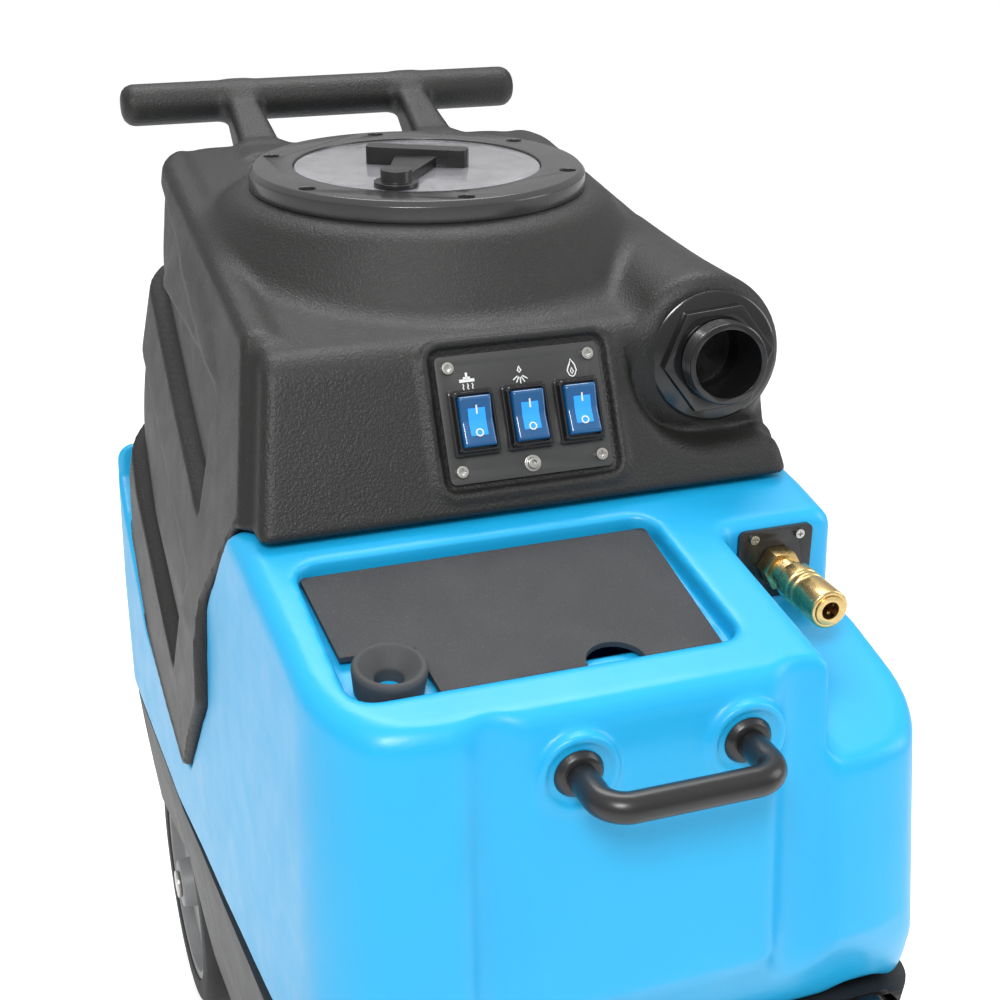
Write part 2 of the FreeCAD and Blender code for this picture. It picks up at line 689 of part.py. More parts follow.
def panel_pieces():
    """Switch plate with three rockers in bezels, a socket-head bolt and four screws."""
    pitch = sheet.switch_pitch
    switch_xs = [-pitch, 0, pitch]
    plate = padded("switch_plate", rectangle("Dims.plate_width", "Dims.plate_height"),
                   "Dims.plate_thickness",
                   [(x, u, 2.1) for x in (-52, 52) for u in (-36, 36)]
                   + [(x, -3, 10.5) for x in switch_xs] + [(0, -36, 4.1)])
    rounded_edges(plate, along_z, 4, "switch_plate")
    start = on_panel(0, 0, -4)
    put(plate, x="0", y=start.y, z=start.z, turn=panel_turn)

    screws = []
    for i, (x, u) in enumerate([(x, u) for x in (-52, 52) for u in (-36, 36)]):
        item = screw("switch_plate_screw%d" % i, 4.2, 2.6, 2, 10)
        point = on_panel(x, u, -1)
        screws.append(put(item, x=point.x, y=point.y, z=point.z, turn=panel_turn))
    group("switch_plate_screws", screws)

    bezels, bodies = [], []
    for i, x in enumerate(switch_xs):
        frame = primitive("Box", "bezel_block%d" % i, Length="Dims.switch_width",
                          Width="Dims.switch_height", Height=9)
        put(frame, x="-Dims.switch_width / 2", y="-Dims.switch_height / 2", z="0")
        window = primitive("Box", "bezel_window%d" % i, Length="Dims.rocker_width + 2 * Dims.rocker_gap",
                           Width="Dims.rocker_height + 2 * Dims.rocker_gap", Height=8)
        put(window, x="-Dims.rocker_width / 2 - Dims.rocker_gap",
            y="-Dims.rocker_height / 2 - Dims.rocker_gap", z="2")
        bezel = cut("bezel%d" % i, frame, window)
        point = on_panel(x, -3, -1)
        bezels.append(put(bezel, x=point.x, y=point.y, z=point.z, turn=panel_turn))
        body = primitive("Cylinder", "switch_body%d" % i, Radius=10, Height=28)
        point = on_panel(x, -3, -29.2)
        bodies.append(put(body, x=point.x, y=point.y, z=point.z, turn=panel_turn))
    group("switch_bezels", bezels)
    group("switch_bodies", bodies)

    for name, x in zip(("rocker_vacuum", "rocker_pump", "rocker_heater"), switch_xs):
        rocker_piece(name, x)

    bolt = turned("panel_bolt", [
        ("0", "-12"), ("4", "-12"), ("4", "0"), ("6", "0"), ("6", "1"), ("4", "1"), ("4", "4"),
        ("1.8", "4"),
        ("1.8", "1.5"), ("0", "1.5")])
    point = on_panel(0, -36, -1)
    put(bolt, y=point.y, z=point.z, turn=panel_turn)


def rocker_piece(name, x):
    """Rocker with a shallow V top; it tips about an axis across its middle."""
    half = "Dims.rocker_height / 2"
    body = doc.addObject("PartDesign::Body", name)
    sketch = new_sketch(body, "YZ_Plane")
    add_outline(sketch, [
        ("-" + half, "0"), ("-6", "-3"), ("6", "-3"), (half, "0"), (half, "6.5"), ("0", "4"),
        ("-" + half, "6.5")])
    pad = body.newObject("PartDesign::Pad", name + "_pad")
    pad.Profile = sketch
    pad.Midplane = True
    pad.setExpression("Length", "Dims.rocker_width")
    body.Tip = pad
    keep(body, name)
    point = on_panel(x, -3, 5.5)
    put(body, x=point.x, y=point.y, z=point.z, turn=panel_turn)


panel_pieces()


# ---------------------------------------------------------------- solution tank and what it carries

def deck_box(x, y, z):
    """Box laid on the sloping deck: y runs up the slope from the hatch hinge, z stands off the deck."""
    shape = box(x, y, z)
    shape.Placement = Placement(Vector(0, sheet.hatch_hinge_y, sheet.hatch_hinge_z), deck_turn)
    return shape


def on_deck(x, along, up):
    """Point on the sloping deck, in the same frame as deck_box."""
    return Placement(Vector(0, sheet.hatch_hinge_y, sheet.hatch_hinge_z),
                     deck_turn).multVec(Vector(x, along, up))


def solution_tank():
    """Blue tank: saddle on top, deck with a hatch, coupler pocket, raised front panel between two valleys."""
    wall = sheet.wall
    saddle_gap = across(side_face(recovery_profile).makeOffset2D(sheet.tank_gap), 320)
    saddle_wall = across(side_face(recovery_profile).makeOffset2D(sheet.tank_gap + wall), 320)
    outer, inner = shelled(solution_profile, solution_sections, wall)
    outer = outer.cut(saddle_gap)
    inner = inner.cut(saddle_wall)

    # pocket for the quick coupler: open to the front and the right, with a sloping floor
    pocket_side = [(-600, 569), (-254, 642), (-226, 644), (sheet.pocket_wall_y, 646),
                   (sheet.pocket_wall_y, 760), (-600, 760)]
    pocket_backing = [(-600, 563), (-254, 636), (-216, 638), (-207, 640), (-207, 765), (-600, 765)]
    for shape_points, reach, is_cut in ((pocket_side, 118, True), (pocket_backing, 112, False)):
        block = across(side_face(shape_points), 300)
        block = block.common(box((reach, 330), (-650, 0), (500, 800)))
        if is_cut:
            outer = outer.cut(block)
        else:
            inner = inner.cut(block)

    # deck recess for the hatch, its filling mouth and the slot behind the deck
    left, right, depth = sheet.recess_left, sheet.recess_right, sheet.recess_depth
    front, rear = sheet.recess_front, sheet.recess_rear
    recess = deck_box((-left, right), (-front, rear), (-depth, 60))
    middle_y = sheet.hatch_hinge_y - front / 2
    for radius, at_front in ((20, True), (6, False)):
        upright = [edge for edge in recess.Edges if abs(edge.Length - 60 - depth) < 0.1]
        recess = recess.makeFillet(radius, [edge for edge in upright if (edge.CenterOfMass.y < middle_y) == at_front])
    outer = outer.cut(recess)
    inner = inner.cut(deck_box((-left - wall, right + wall), (-front - wall, rear + wall),
                               (-depth - wall, 60)))
    mouth = deck_box((-118, 40), (-118, -18), (-30, 0))
    # valleys beside the raised front panel, and the arch over the drain cap
    valleys = []
    for valley_x in (sheet.valley_left, sheet.valley_right):
        foot = Vector(valley_x, -418, 420)
        top = Vector(valley_x, -388, 700)
        valleys.append(cylinder(24, (top - foot).Length, foot, top - foot))
        valleys.append(cylinder(24 + wall, (top - foot).Length, foot, top - foot))
    for valley, backing in (valleys[:2], valleys[2:]):
        outer = outer.cut(valley)
        inner = inner.cut(backing)
    drain = Vector(sheet.drain_x, sheet.drain_y - 40, sheet.drain_z)
    outer = outer.cut(cylinder(36, 52, drain, Y_AXIS))
    inner = inner.cut(cylinder(36 + wall, 52 + wall, drain, Y_AXIS))
    inner = inner.cut(cylinder(25.2 + wall, 500, Vector(0, standpipe_y, 200)))

    tank = outer.cut(inner).cut(mouth)
    for side in SIDES.values():
        leg = Vector(side * sheet.handle_x, -420, sheet.handle_z)
        tank = tank.cut(cylinder(4.1, 60, leg, Y_AXIS)).cut(cylinder(21, sheet.handle_root_y + 420, leg,
                                                                     Y_AXIS))
    tank = tank.cut(cylinder(11.3, 40, Vector(sheet.coupler_x, -235, sheet.coupler_z), Y_AXIS))
    for x, z in coupler_screw_spots():
        tank = tank.cut(cylinder(1.6, 14, Vector(x, sheet.pocket_wall_y - 2, z), Y_AXIS))
    cup_axis = deck_turn.multVec(Z_AXIS)
    tank = tank.cut(cylinder(14.2, 40, cup_spot - cup_axis * 20, cup_axis))
    rod_seat = on_deck(-left - 3.2, sheet.rod_along, sheet.rod_up)
    tank = tank.cut(cylinder(sheet.rod_radius + sheet.running_gap, left + right + 6.4, rod_seat, X_AXIS))
    tank = tank.cut(cylinder(25.2, 400, Vector(0, standpipe_y, 300)))
    return tank.removeSplitter()


def coupler_screw_spots():
    """Four corner screws of the coupler plate."""
    return [(sheet.coupler_x + dx, sheet.coupler_z + dz) for dx in (-18, 18) for dz in (-21, 21)]


cup_spot = on_deck(-150, -116, -sheet.recess_depth)
modelled("solution_tank", solution_tank())


def deck_pieces():
    """Hatch with a finger notch and a rolled rear edge, the rod it turns on, and the rubber cup beside it."""
    half = "Dims.hatch_width / 2"
    front = "-Dims.hatch_length"
    plate = doc.addObject("PartDesign::Body", "access_plate")
    sketch = new_sketch(plate, "XY_Plane")
    add_outline(sketch, [
        ("-" + half, "Dims.rod_along"), (half, "Dims.rod_along"), (half + " - 7", front),
        ("-" + half + " + 53", front), ("-" + half + " + 51", front + " + 46"),
        ("-" + half + " + 3", front + " + 48")])
    pad = plate.newObject("PartDesign::Pad", "access_plate_pad")
    pad.Profile = sketch
    pad.setExpression("Length", "Dims.hatch_thickness")
    plate.Tip = pad
    doc.recompute()
    notch = new_sketch(plate, "XY_Plane")
    add_circle(notch, "44", front, "19.5")
    pocket = plate.newObject("PartDesign::Pocket", "access_plate_notch")
    pocket.Profile = notch
    pocket.Midplane = True
    pocket.Length = 60
    plate.Tip = pocket
    barrel = primitive("Cylinder", "barrel", Radius="Dims.barrel_radius", Height="Dims.hatch_width")
    put(barrel, x="-" + half, y="Dims.rod_along", z="Dims.rod_up", turn=Rotation(Y_AXIS, 90))
    bore = primitive("Cylinder", "barrel_bore", Radius="Dims.rod_radius + Dims.running_gap",
                     Height="Dims.hatch_width + 10")
    put(bore, x="-%s - 5" % half, y="Dims.rod_along", z="Dims.rod_up", turn=Rotation(Y_AXIS, 90))
    hatch = keep(cut("access_lid", joined("access_blank", [plate, barrel]), bore), "access_lid")
    put(hatch, x="Dims.hatch_x", y="Dims.hatch_hinge_y", z="Dims.hatch_hinge_z", turn=deck_turn)

    rod = keep(primitive("Cylinder", "hatch_hinge_rod", Radius="Dims.rod_radius",
                         Height="Dims.recess_left + Dims.recess_right + 6"), "hatch_hinge_rod")
    start = on_deck(-sheet.recess_left - 3, sheet.rod_along, sheet.rod_up)
    put(rod, x=start.x, y=start.y, z=start.z, turn=Rotation(Y_AXIS, 90))

    cup = turned("rubber_cup", [
        ("9", "-12"), ("14", "-12"), ("14", "0"), ("21.5", "0"), ("23.5", "17"), ("22", "20"),
        ("19.5", "20"),
        ("9", "9")])
    put(cup, x=cup_spot.x, y=cup_spot.y, z=cup_spot.z, turn=deck_turn)


deck_pieces()


def handle_pieces():
    """Bent tube handle on the front panel, with two flanges and their bolts."""
    x, z = sheet.handle_x, sheet.handle_z
    root = Vector(0, sheet.handle_root_y - 5, z)
    points = [root - X_AXIS * x, Vector(-x, sheet.handle_bar_y, z), Vector(x, sheet.handle_bar_y, z),
              root + X_AXIS * x]
    modelled("front_handle", pipe(points, 17, sheet.handle_radius))
    flanges, bolts = [], []
    for i, side in enumerate(SIDES.values()):
        flange = primitive("Cone", "flange%d" % i, Radius1=16.5, Radius2=13, Height=4.8)
        flanges.append(put(flange, x=side * x, y="Dims.handle_root_y", z="Dims.handle_z",
                           turn=forward_turn))
        bolt = primitive("Cylinder", "handle_bolt%d" % i, Radius=4, Height=26)
        bolts.append(put(bolt, x=side * x, y="Dims.handle_root_y + 26", z="Dims.handle_z",
                         turn=forward_turn))
    group("handle_flanges", flanges)
    group("handle_bolts", bolts)


handle_pieces()


def coupler_pieces():
    """Brass quick coupler: plate, hexagon body, sliding sleeve and locking balls."""
    hole = [("0", "0", 11.2)] + [(dx, dz, 1.6) for dx in (-18, 18) for dz in (-21, 21)]
    plate = padded("coupler_plate", rectangle(58, 54), 3.5, hole)
    rounded_edges(plate, along_z, 5, "coupler_plate")
    put(plate, x="Dims.coupler_x", y="Dims.pocket_wall_y", z="Dims.coupler_z", turn=forward_turn)

    screws = []
    for i, (x, z) in enumerate(coupler_screw_spots()):
        item = screw("coupler_plate_screw%d" % i, 3.4, 2.2, 1.5, 9)
        screws.append(put(item, x=x, y="Dims.pocket_wall_y - 3.5", z=z, turn=forward_turn))
    group("coupler_plate_screws", screws)

    body = modelled("coupler_body", coupler_body())
    put(body, x="Dims.coupler_x", y="Dims.pocket_wall_y", z="Dims.coupler_z", turn=forward_turn)
    sleeve = turned("coupler_sleeve", [
        ("10.55", "31"), ("13", "31"), ("Dims.sleeve_radius", "32"), ("Dims.sleeve_radius", "44"),
        ("12.8", "45"), ("12.8", "47"), ("Dims.sleeve_radius", "48"), ("Dims.sleeve_radius", "51"),
        ("12.8", "52"), ("12.8", "54"), ("Dims.sleeve_radius", "55"), ("Dims.sleeve_radius", "79"),
        ("13", "80"), ("10.55", "80")])
    put(sleeve, x="Dims.coupler_x", y="Dims.pocket_wall_y", z="Dims.coupler_z", turn=forward_turn)

    balls = []
    for i in range(6):
        turn = math.radians(60 * i)
        ball = primitive("Sphere", "coupler_ball%d" % i, Radius=1.5)
        balls.append(put(ball, x="Dims.coupler_x + %g" % (8.5 * math.cos(turn)),
                         y="Dims.pocket_wall_y - 74", z="Dims.coupler_z + %g" % (8.5 * math.sin(turn))))
    group("coupler_balls", balls)


def coupler_body():
    """Turned barrel with a hexagon, a threaded tail through the wall and a row of ball holes."""
    shape = cylinder(11, 30, Vector(0, 0, -26)).fuse(cylinder(10.5, 77, Vector(0, 0, 4)))
    corners = [Vector(15 * math.cos(math.radians(60 * i)), 15 * math.sin(math.radians(60 * i)),
                      4) for i in range(7)]
    shape = shape.fuse(Part.Face(Part.makePolygon(corners)).extrude(Z_AXIS * 14))
    shape = shape.cut(cylinder(sheet.coupler_bore, 40, Vector(0, 0, 42)))
    shape = shape.cut(cylinder(4, 80, Vector(0, 0, -30)))
    for i in range(6):
        turn = math.radians(60 * i)
        heading = Vector(math.cos(turn), math.sin(turn), 0)
        shape = shape.cut(cylinder(1.55, 6, Vector(0, 0, 74) + heading * 6, heading))
    return shape


coupler_pieces()


def drain_pieces():
    """Drain stub in the base and the cap that screws over it."""
    stub = turned("drain_stub", [
        ("15", "-30"), ("19", "-30"), ("19", "0"), ("24", "0"), ("24", "3"), ("20", "3"), ("20", "16"),
        ("15", "16")])
    put(stub, x="Dims.drain_x", y="Dims.drain_y", z="Dims.drain_z", turn=forward_turn)
    cap = turned("drain_cap", [
        ("20.5", "3.5"), ("Dims.drain_radius", "3.5"), ("Dims.drain_radius", "20"),
        ("Dims.drain_radius - 3", "23"),
        ("0", "23"), ("0", "18"), ("20.5", "18")])
    put(cap, x="Dims.drain_x", y="Dims.drain_y", z="Dims.drain_z", turn=forward_turn)


drain_pieces()


# ---------------------------------------------------------------- base, machinery and running gear

def base_housing():
    """Black base: a box open below, with a wheel well in each rear corner."""
    wall = sheet.wall
    outer, inner = shelled(base_profile, base_sections, wall)
    bottom = box((-150, 150), (-310, 350), (sheet.base_z - 5, sheet.base_z + 10))
    inner = inner.fuse(bottom)
    for side in SIDES.values():
        well = [side * (sheet.wheel_x - 27), side * 218]
        room = box(sorted(well), (sheet.axle_y - 140, 420), (60, 268))
        backing = box(sorted([well[0] - side * wall, side * 330]), (sheet.axle_y - 145, 420), (60, 273))
        inner = inner.cut(backing)
        outer = outer.cut(room)
        arch = cylinder(140, 60, Vector(side * 200, sheet.axle_y, sheet.wheel_radius), X_AXIS * side)
        outer = outer.cut(arch.common(box((-300, 300), (0, 500), (0, 205))))
    housing = outer.cut(inner)
    drain = Vector(sheet.drain_x, sheet.drain_y - 30, sheet.drain_z)
    housing = housing.cut(cylinder(19.2, 60, drain, Y_AXIS)).cut(cylinder(32, 30.2, drain, Y_AXIS))
    housing = housing.cut(cylinder(25.2, 40, Vector(0, standpipe_y, 310)))
    housing = housing.cut(cylinder(21, 30, Vector(-60, 350, 200), Y_AXIS))
    return housing.removeSplitter()


modelled("base_housing", base_housing())


def base_pieces():
    """Bottom plate with its screws and the power inlet at the rear."""
    plate = padded("base_plate", [("-165", "-322"), ("165", "-322"), ("152", "362"), ("-152", "362")], 3,
                   [(side * dx, y, 2.6) for side in (-1, 1) for dx,
                    y in ((100, -316), (151, 0), (100, 355))])
    put(plate, z="Dims.base_z - 3.2")
    screws = []
    for i, (dx, y) in enumerate([(side * dx, y) for side in (-1, 1) for dx,
                                 y in ((100, -316), (100, 355))]):
        item = screw("base_screw%d" % i, 5, 2.5, 2.5, 3)
        screws.append(put(item, x=dx, y=y, z="Dims.base_z - 3.2", turn=Rotation(X_AXIS, 180)))
    group("base_screws", screws)
    inlet = turned("power_inlet", [
        ("14", "-24"), ("20.8", "-24"), ("20.8", "0"), ("27", "0"), ("27", "4"), ("24", "7"), ("17", "7"),
        ("17", "-20"), ("14", "-20")])
    put(inlet, x="-60", y="370.1", z="200", turn=Rotation(X_AXIS, -90))


base_pieces()


def machinery():
    """Two-stage vacuum motor with its fan, pump, heater and the hoses between them."""
    case = turned("vacuum_fan_case", [
        ("9", "0"), ("72", "0"), ("72", "50"), ("25.4", "50"), ("25.4", "47"), ("69", "47"), ("69", "3"),
        ("9", "3")])
    bore = "8 + Dims.running_gap"
    motor = turned("vacuum_motor", [
        ("0", "-78"), ("48", "-78"), ("48", "-0.5"), (bore, "-0.5"), (bore, "-73"), ("0", "-73")])
    fan = turned("vacuum_fan", [
        ("0", "-72"), ("8", "-72"), ("8", "8"), ("64", "8"), ("64", "10"), ("12", "14"), ("12", "40"),
        ("0", "44")])
    for piece in (case, motor, fan):
        put(piece, y=standpipe_y, z=fan_case_z)

    floor = "Dims.base_z"
    pump = joined("pump", [
        put(primitive("Cylinder", "pump_motor", Radius=34, Height=110), x="40", y="-60", z=floor + " + 40",
            turn=Rotation(Y_AXIS, 90)),
        put(primitive("Box", "pump_head", Length=46, Width=86, Height=90), x="0", y="-103", z=floor)])
    keep(pump, "pump")
    heater = joined("heater", [
        put(primitive("Box", "heater_block", Length=150, Width=70, Height=60), x="-120", y="-230", z=floor),
        put(primitive("Cylinder", "heater_port", Radius=9, Height=30), x="-20", y="-195",
            z=floor + " + 60")])
    keep(heater, "heater")
    port_top = sheet.base_z + 90.5
    supply = pipe([Vector(-20, -195, port_top), Vector(-20, -195, 300), Vector(120, -270, 300),
                   Vector(120, -270, 340)], 24, 8, 5)
    modelled("solution_hose", supply)


machinery()


def rear_wheels():
    """Axle with two rubber-tyred wheels and their retaining caps."""
    axle = primitive("Cylinder", "rear_axle", Radius="Dims.axle_radius - 0.02",
                     Height="2 * Dims.wheel_x + 56")
    keep(axle, "rear_axle")
    put(axle, x="-Dims.wheel_x - 28", y="Dims.axle_y", z="Dims.wheel_radius", turn=Rotation(Y_AXIS, 90))
    brackets = []
    for side_name, side in SIDES.items():
        block = primitive("Box", "bracket_block_" + side_name, Length=24, Width=44, Height=22)
        put(block, x=side * 125 - 12, y="Dims.axle_y - 22", z="Dims.base_z - 3.3 - 22")
        hole = primitive("Cylinder", "bracket_hole_" + side_name, Radius="Dims.axle_radius", Height=24)
        put(hole, x=side * 125 - 12, y="Dims.axle_y", z="Dims.wheel_radius", turn=Rotation(Y_AXIS, 90))
        brackets.append(cut("bracket_" + side_name, block, hole))
    group("axle_brackets", brackets)
    caps = []
    for side_name, side in SIDES.items():
        half = "Dims.wheel_width / 2"
        hub = turned("rear_hub_" + side_name, [
            ("Dims.axle_radius + Dims.running_gap", "-24"), ("24", "-24"), ("26", "-8"), ("92", "-6"),
            ("92", "-" + half + " + 2"), ("100", "-" + half + " + 2"), ("100", half + " - 2"),
            ("92", half + " - 2"),
            ("92", "6"), ("26", "8"), ("24", "24"), ("Dims.axle_radius + Dims.running_gap", "24")])
        put(hub, x="%d * Dims.wheel_x" % side, y="Dims.axle_y", z="Dims.wheel_radius",
            turn=Rotation(Y_AXIS, 90))
        tyre = turned("rear_tyre_" + side_name, [
            ("100", "-" + half), ("Dims.wheel_radius - 7", "-" + half),
            ("Dims.wheel_radius - 1.5", "-" + half + " + 5"), ("Dims.wheel_radius", "-" + half + " + 10"),
            ("Dims.wheel_radius", half + " - 10"),
            ("Dims.wheel_radius - 1.5", half + " - 5"), ("Dims.wheel_radius - 7", half), ("100", half)])
        put(tyre, x="%d * Dims.wheel_x" % side, y="Dims.axle_y", z="Dims.wheel_radius",
            turn=Rotation(Y_AXIS, 90))
        cap = primitive("Cylinder", "retainer_" + side_name, Radius=14, Height=3.4)
        bore = primitive("Cylinder", "retainer_bore_" + side_name, Radius="Dims.axle_radius", Height=3.4)
        ring = cut("retainer_ring_" + side_name, cap, bore)
        x = "Dims.wheel_x + 24.5" if side > 0 else "-Dims.wheel_x - 27.9"
        caps.append(put(ring, x=x, y="Dims.axle_y", z="Dims.wheel_radius", turn=Rotation(Y_AXIS, 90)))
    group("wheel_retainers", caps)


rear_wheels()


def caster_pieces():
    """Two swivel casters under the front of the base."""
    plates = []
    for side_name, side in SIDES.items():
        x = "%d * Dims.caster_x" % side
        mount = primitive("Cylinder", "caster_mount_" + side_name, Radius=26, Height=5)
        stem = primitive("Cylinder", "caster_stem_" + side_name, Radius=6, Height=14)
        put(stem, z="-14")
        head = primitive("Cylinder", "caster_head_" + side_name, Radius=9, Height=3)
        put(head, z="-8")
        plate = joined("caster_plate_" + side_name, [mount, stem, head])
        plates.append(put(plate, x=x, y="Dims.caster_y", z="Dims.base_z - 3.2 - 5.1"))

        fork = modelled("caster_fork_" + side_name, caster_fork())
        put(fork, x=x, y="Dims.caster_y", z="Dims.base_z - 3.2 - 5.1 - 0.5")
        half = "Dims.caster_width / 2"
        wheel = turned("caster_wheel_" + side_name, [
            ("4 + Dims.running_gap", "-" + half), ("16", "-" + half), ("16", "-8"), ("36", "-8"),
            ("36", "-" + half),
            ("Dims.caster_radius - 4", "-" + half), ("Dims.caster_radius", "-" + half + " + 5"),
            ("Dims.caster_radius", half + " - 5"), ("Dims.caster_radius - 4", half), ("36", half),
            ("36", "8"),
            ("16", "8"), ("16", half), ("4 + Dims.running_gap", half)])
        put(wheel, x=x, y="Dims.caster_y + Dims.caster_trail", z="Dims.caster_radius",
            turn=Rotation(Y_AXIS, 90))
        pin = primitive("Cylinder", "caster_axle_" + side_name, Radius=4, Height="Dims.caster_width + 14")
        keep(pin, "caster_axle_" + side_name)
        put(pin, x=x + " - Dims.caster_width / 2 - 7", y="Dims.caster_y + Dims.caster_trail",
            z="Dims.caster_radius", turn=Rotation(Y_AXIS, 90))
    group("caster_plates", plates)


def caster_fork():
    """Pressed fork: a round crown under the swivel and two legs down to the wheel axle."""
    crown_top = 0.0
    drop = sheet.base_z - 3.2 - 5.1 - 0.5 - sheet.caster_radius
    inner_half = sheet.caster_width / 2 + 2
    crown = cylinder(24, 4, Vector(0, 0, crown_top - 4)).cut(cylinder(6 + sheet.running_gap, 4,
                                                                      Vector(0, 0, -4)))
    shape = crown
    for side in SIDES.values():
        x = sorted([side * inner_half, side * (inner_half + 3)])
        corners = [Vector(x[0], -18, -2), Vector(x[0], 18, -2),
                   Vector(x[0], sheet.caster_trail + 10, -drop),
                   Vector(x[0], sheet.caster_trail, -drop - 10),
                   Vector(x[0], sheet.caster_trail - 10, -drop)]
        leg = Part.Face(Part.makePolygon(corners + corners[:1])).extrude(X_AXIS * 3)
        shape = shape.fuse(leg)
    hole = cylinder(4, 60, Vector(-30, sheet.caster_trail, -drop), X_AXIS)
    return shape.cut(hole)


caster_pieces()


# ---------------------------------------------------------------- checks and export

def write_parts():
    """Refuse a failed document, then write every sub-part."""
    doc.recompute()
    for obj in doc.Objects:
        if any(flag in obj.State for flag in ("Invalid", "Error")):
            raise RuntimeError("%s: %s" % (obj.Label, obj.State))
    os.makedirs("parts", exist_ok=True)
    for piece in pieces:
        shape = piece.Shape
        if shape.isNull() or not shape.isValid() or not shape.Solids:
            raise RuntimeError(piece.Label + ": shape is empty or broken")
        shape.exportStep("parts/%s.step" % piece.Label)
        limits = shape.BoundBox
        print("%-24s %2d solids %9.1f cm3  x %7.1f %7.1f  y %7.1f %7.1f  z %7.1f %7.1f" % (
            piece.Label, len(shape.Solids), shape.Volume / 1000, limits.XMin, limits.XMax,
            limits.YMin, limits.YMax, limits.ZMin, limits.ZMax))
    print(len(pieces), "sub-parts")


write_parts()
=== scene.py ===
"""Looks of the portable carpet extractor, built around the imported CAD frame."""

import json
import math

import bmesh
import bpy
import numpy as np
from mathutils import Matrix, Vector


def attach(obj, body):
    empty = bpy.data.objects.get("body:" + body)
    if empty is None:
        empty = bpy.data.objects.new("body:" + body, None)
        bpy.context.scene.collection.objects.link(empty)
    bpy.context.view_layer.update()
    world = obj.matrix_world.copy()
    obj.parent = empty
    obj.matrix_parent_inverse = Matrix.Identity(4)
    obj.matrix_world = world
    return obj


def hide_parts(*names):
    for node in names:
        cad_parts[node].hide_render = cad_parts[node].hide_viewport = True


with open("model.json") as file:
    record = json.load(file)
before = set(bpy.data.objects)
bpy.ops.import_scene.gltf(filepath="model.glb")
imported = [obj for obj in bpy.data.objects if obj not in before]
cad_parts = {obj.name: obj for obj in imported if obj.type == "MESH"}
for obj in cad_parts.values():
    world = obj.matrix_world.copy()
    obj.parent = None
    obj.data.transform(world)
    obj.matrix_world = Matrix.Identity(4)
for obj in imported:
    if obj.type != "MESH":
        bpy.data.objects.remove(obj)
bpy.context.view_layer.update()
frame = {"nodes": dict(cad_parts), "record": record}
nodes = frame["nodes"]
body_of = {
    node: body for body, members in frame["record"]["behaviour"]["bodies"].items() for node in members}
slot_of = {part["node"]: part["material_slot"] for part in frame["record"]["subparts"]}
scene = bpy.context.scene

LEAN = math.radians(26.7)                      # the front face leans back by this
LID_AXIS = Vector((0, 0.110, 0))
PANEL = Vector((0, -0.138, 0.7816))            # centre of the switch panel
PANEL_X = Vector((1, 0, 0))
PANEL_UP = Vector((0, math.sin(LEAN), math.cos(LEAN)))
PANEL_OUT = Vector((0, -math.cos(LEAN), math.sin(LEAN)))
INLET = Vector((0.151, -0.122, 0.802))
INLET_OUT = Vector((-0.1, -0.987, 0.12)).normalized()
SKIN_STEP = 0.003
SKIN_FACES = 190000
EDGE_SEGMENTS = 3
EDGE_ANGLE = 28                                # degrees; flatter edges stay as they are


# ---------------------------------------------------------------- mesh helpers

def link(name, mesh):
    piece = bpy.data.objects.new(name, mesh)
    scene.collection.objects.link(piece)
    return piece


def stand_for(piece, node, material):
    """The piece rides where its CAD node rides and replaces it."""
    piece.data.materials.clear()
    piece.data.materials.append(material)
    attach(piece, body_of[node])
    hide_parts(node)
    return piece


def extra(piece, body, material):
    """A piece with no CAD node of its own."""
    piece.data.materials.clear()
    piece.data.materials.append(material)
    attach(piece, body)
    return piece


def baked(piece):
    """Apply the piece's modifiers."""
    graph = bpy.context.evaluated_depsgraph_get()
    mesh = bpy.data.meshes.new_from_object(piece.evaluated_get(graph))
    old = piece.data
    piece.modifiers.clear()
    piece.data = mesh
    bpy.data.meshes.remove(old)
    return piece


def smooth_by_angle(mesh, degrees=32):
    bm = bmesh.new()
    bm.from_mesh(mesh)
    limit = math.radians(degrees)
    for face in bm.faces:
        face.smooth = True
    for edge in bm.edges:
        edge.smooth = len(edge.link_faces) == 2 and edge.calc_face_angle(0) < limit
    bm.to_mesh(mesh)
    bm.free()


def cad_copy(node, name):
    """A cleaned copy of a CAD node's mesh: welded, with flat faces merged."""
    bm = bmesh.new()
    bm.from_mesh(nodes[node].data)
    bmesh.ops.remove_doubles(bm, verts=bm.verts, dist=1e-6)
    bmesh.ops.dissolve_limit(bm, angle_limit=math.radians(0.6), verts=bm.verts, edges=bm.edges)
    mesh = bpy.data.meshes.new(name)
    bm.to_mesh(mesh)
    bm.free()
    return link(name, mesh)


def softened(node, name, width, material):
    """The CAD shape with every sharp edge rounded over."""
    piece = cad_copy(node, name)
    bevel = piece.modifiers.new("edges", "BEVEL")
    bevel.width = width
    bevel.segments = EDGE_SEGMENTS
    bevel.limit_method = "ANGLE"
    bevel.angle_limit = math.radians(EDGE_ANGLE)
    bevel.use_clamp_overlap = True
    bevel.harden_normals = False
    baked(piece)
    smooth_by_angle(piece.data, 40)
    return stand_for(piece, node, material)


# ---------------------------------------------------------------- distance fields of the moulded shells

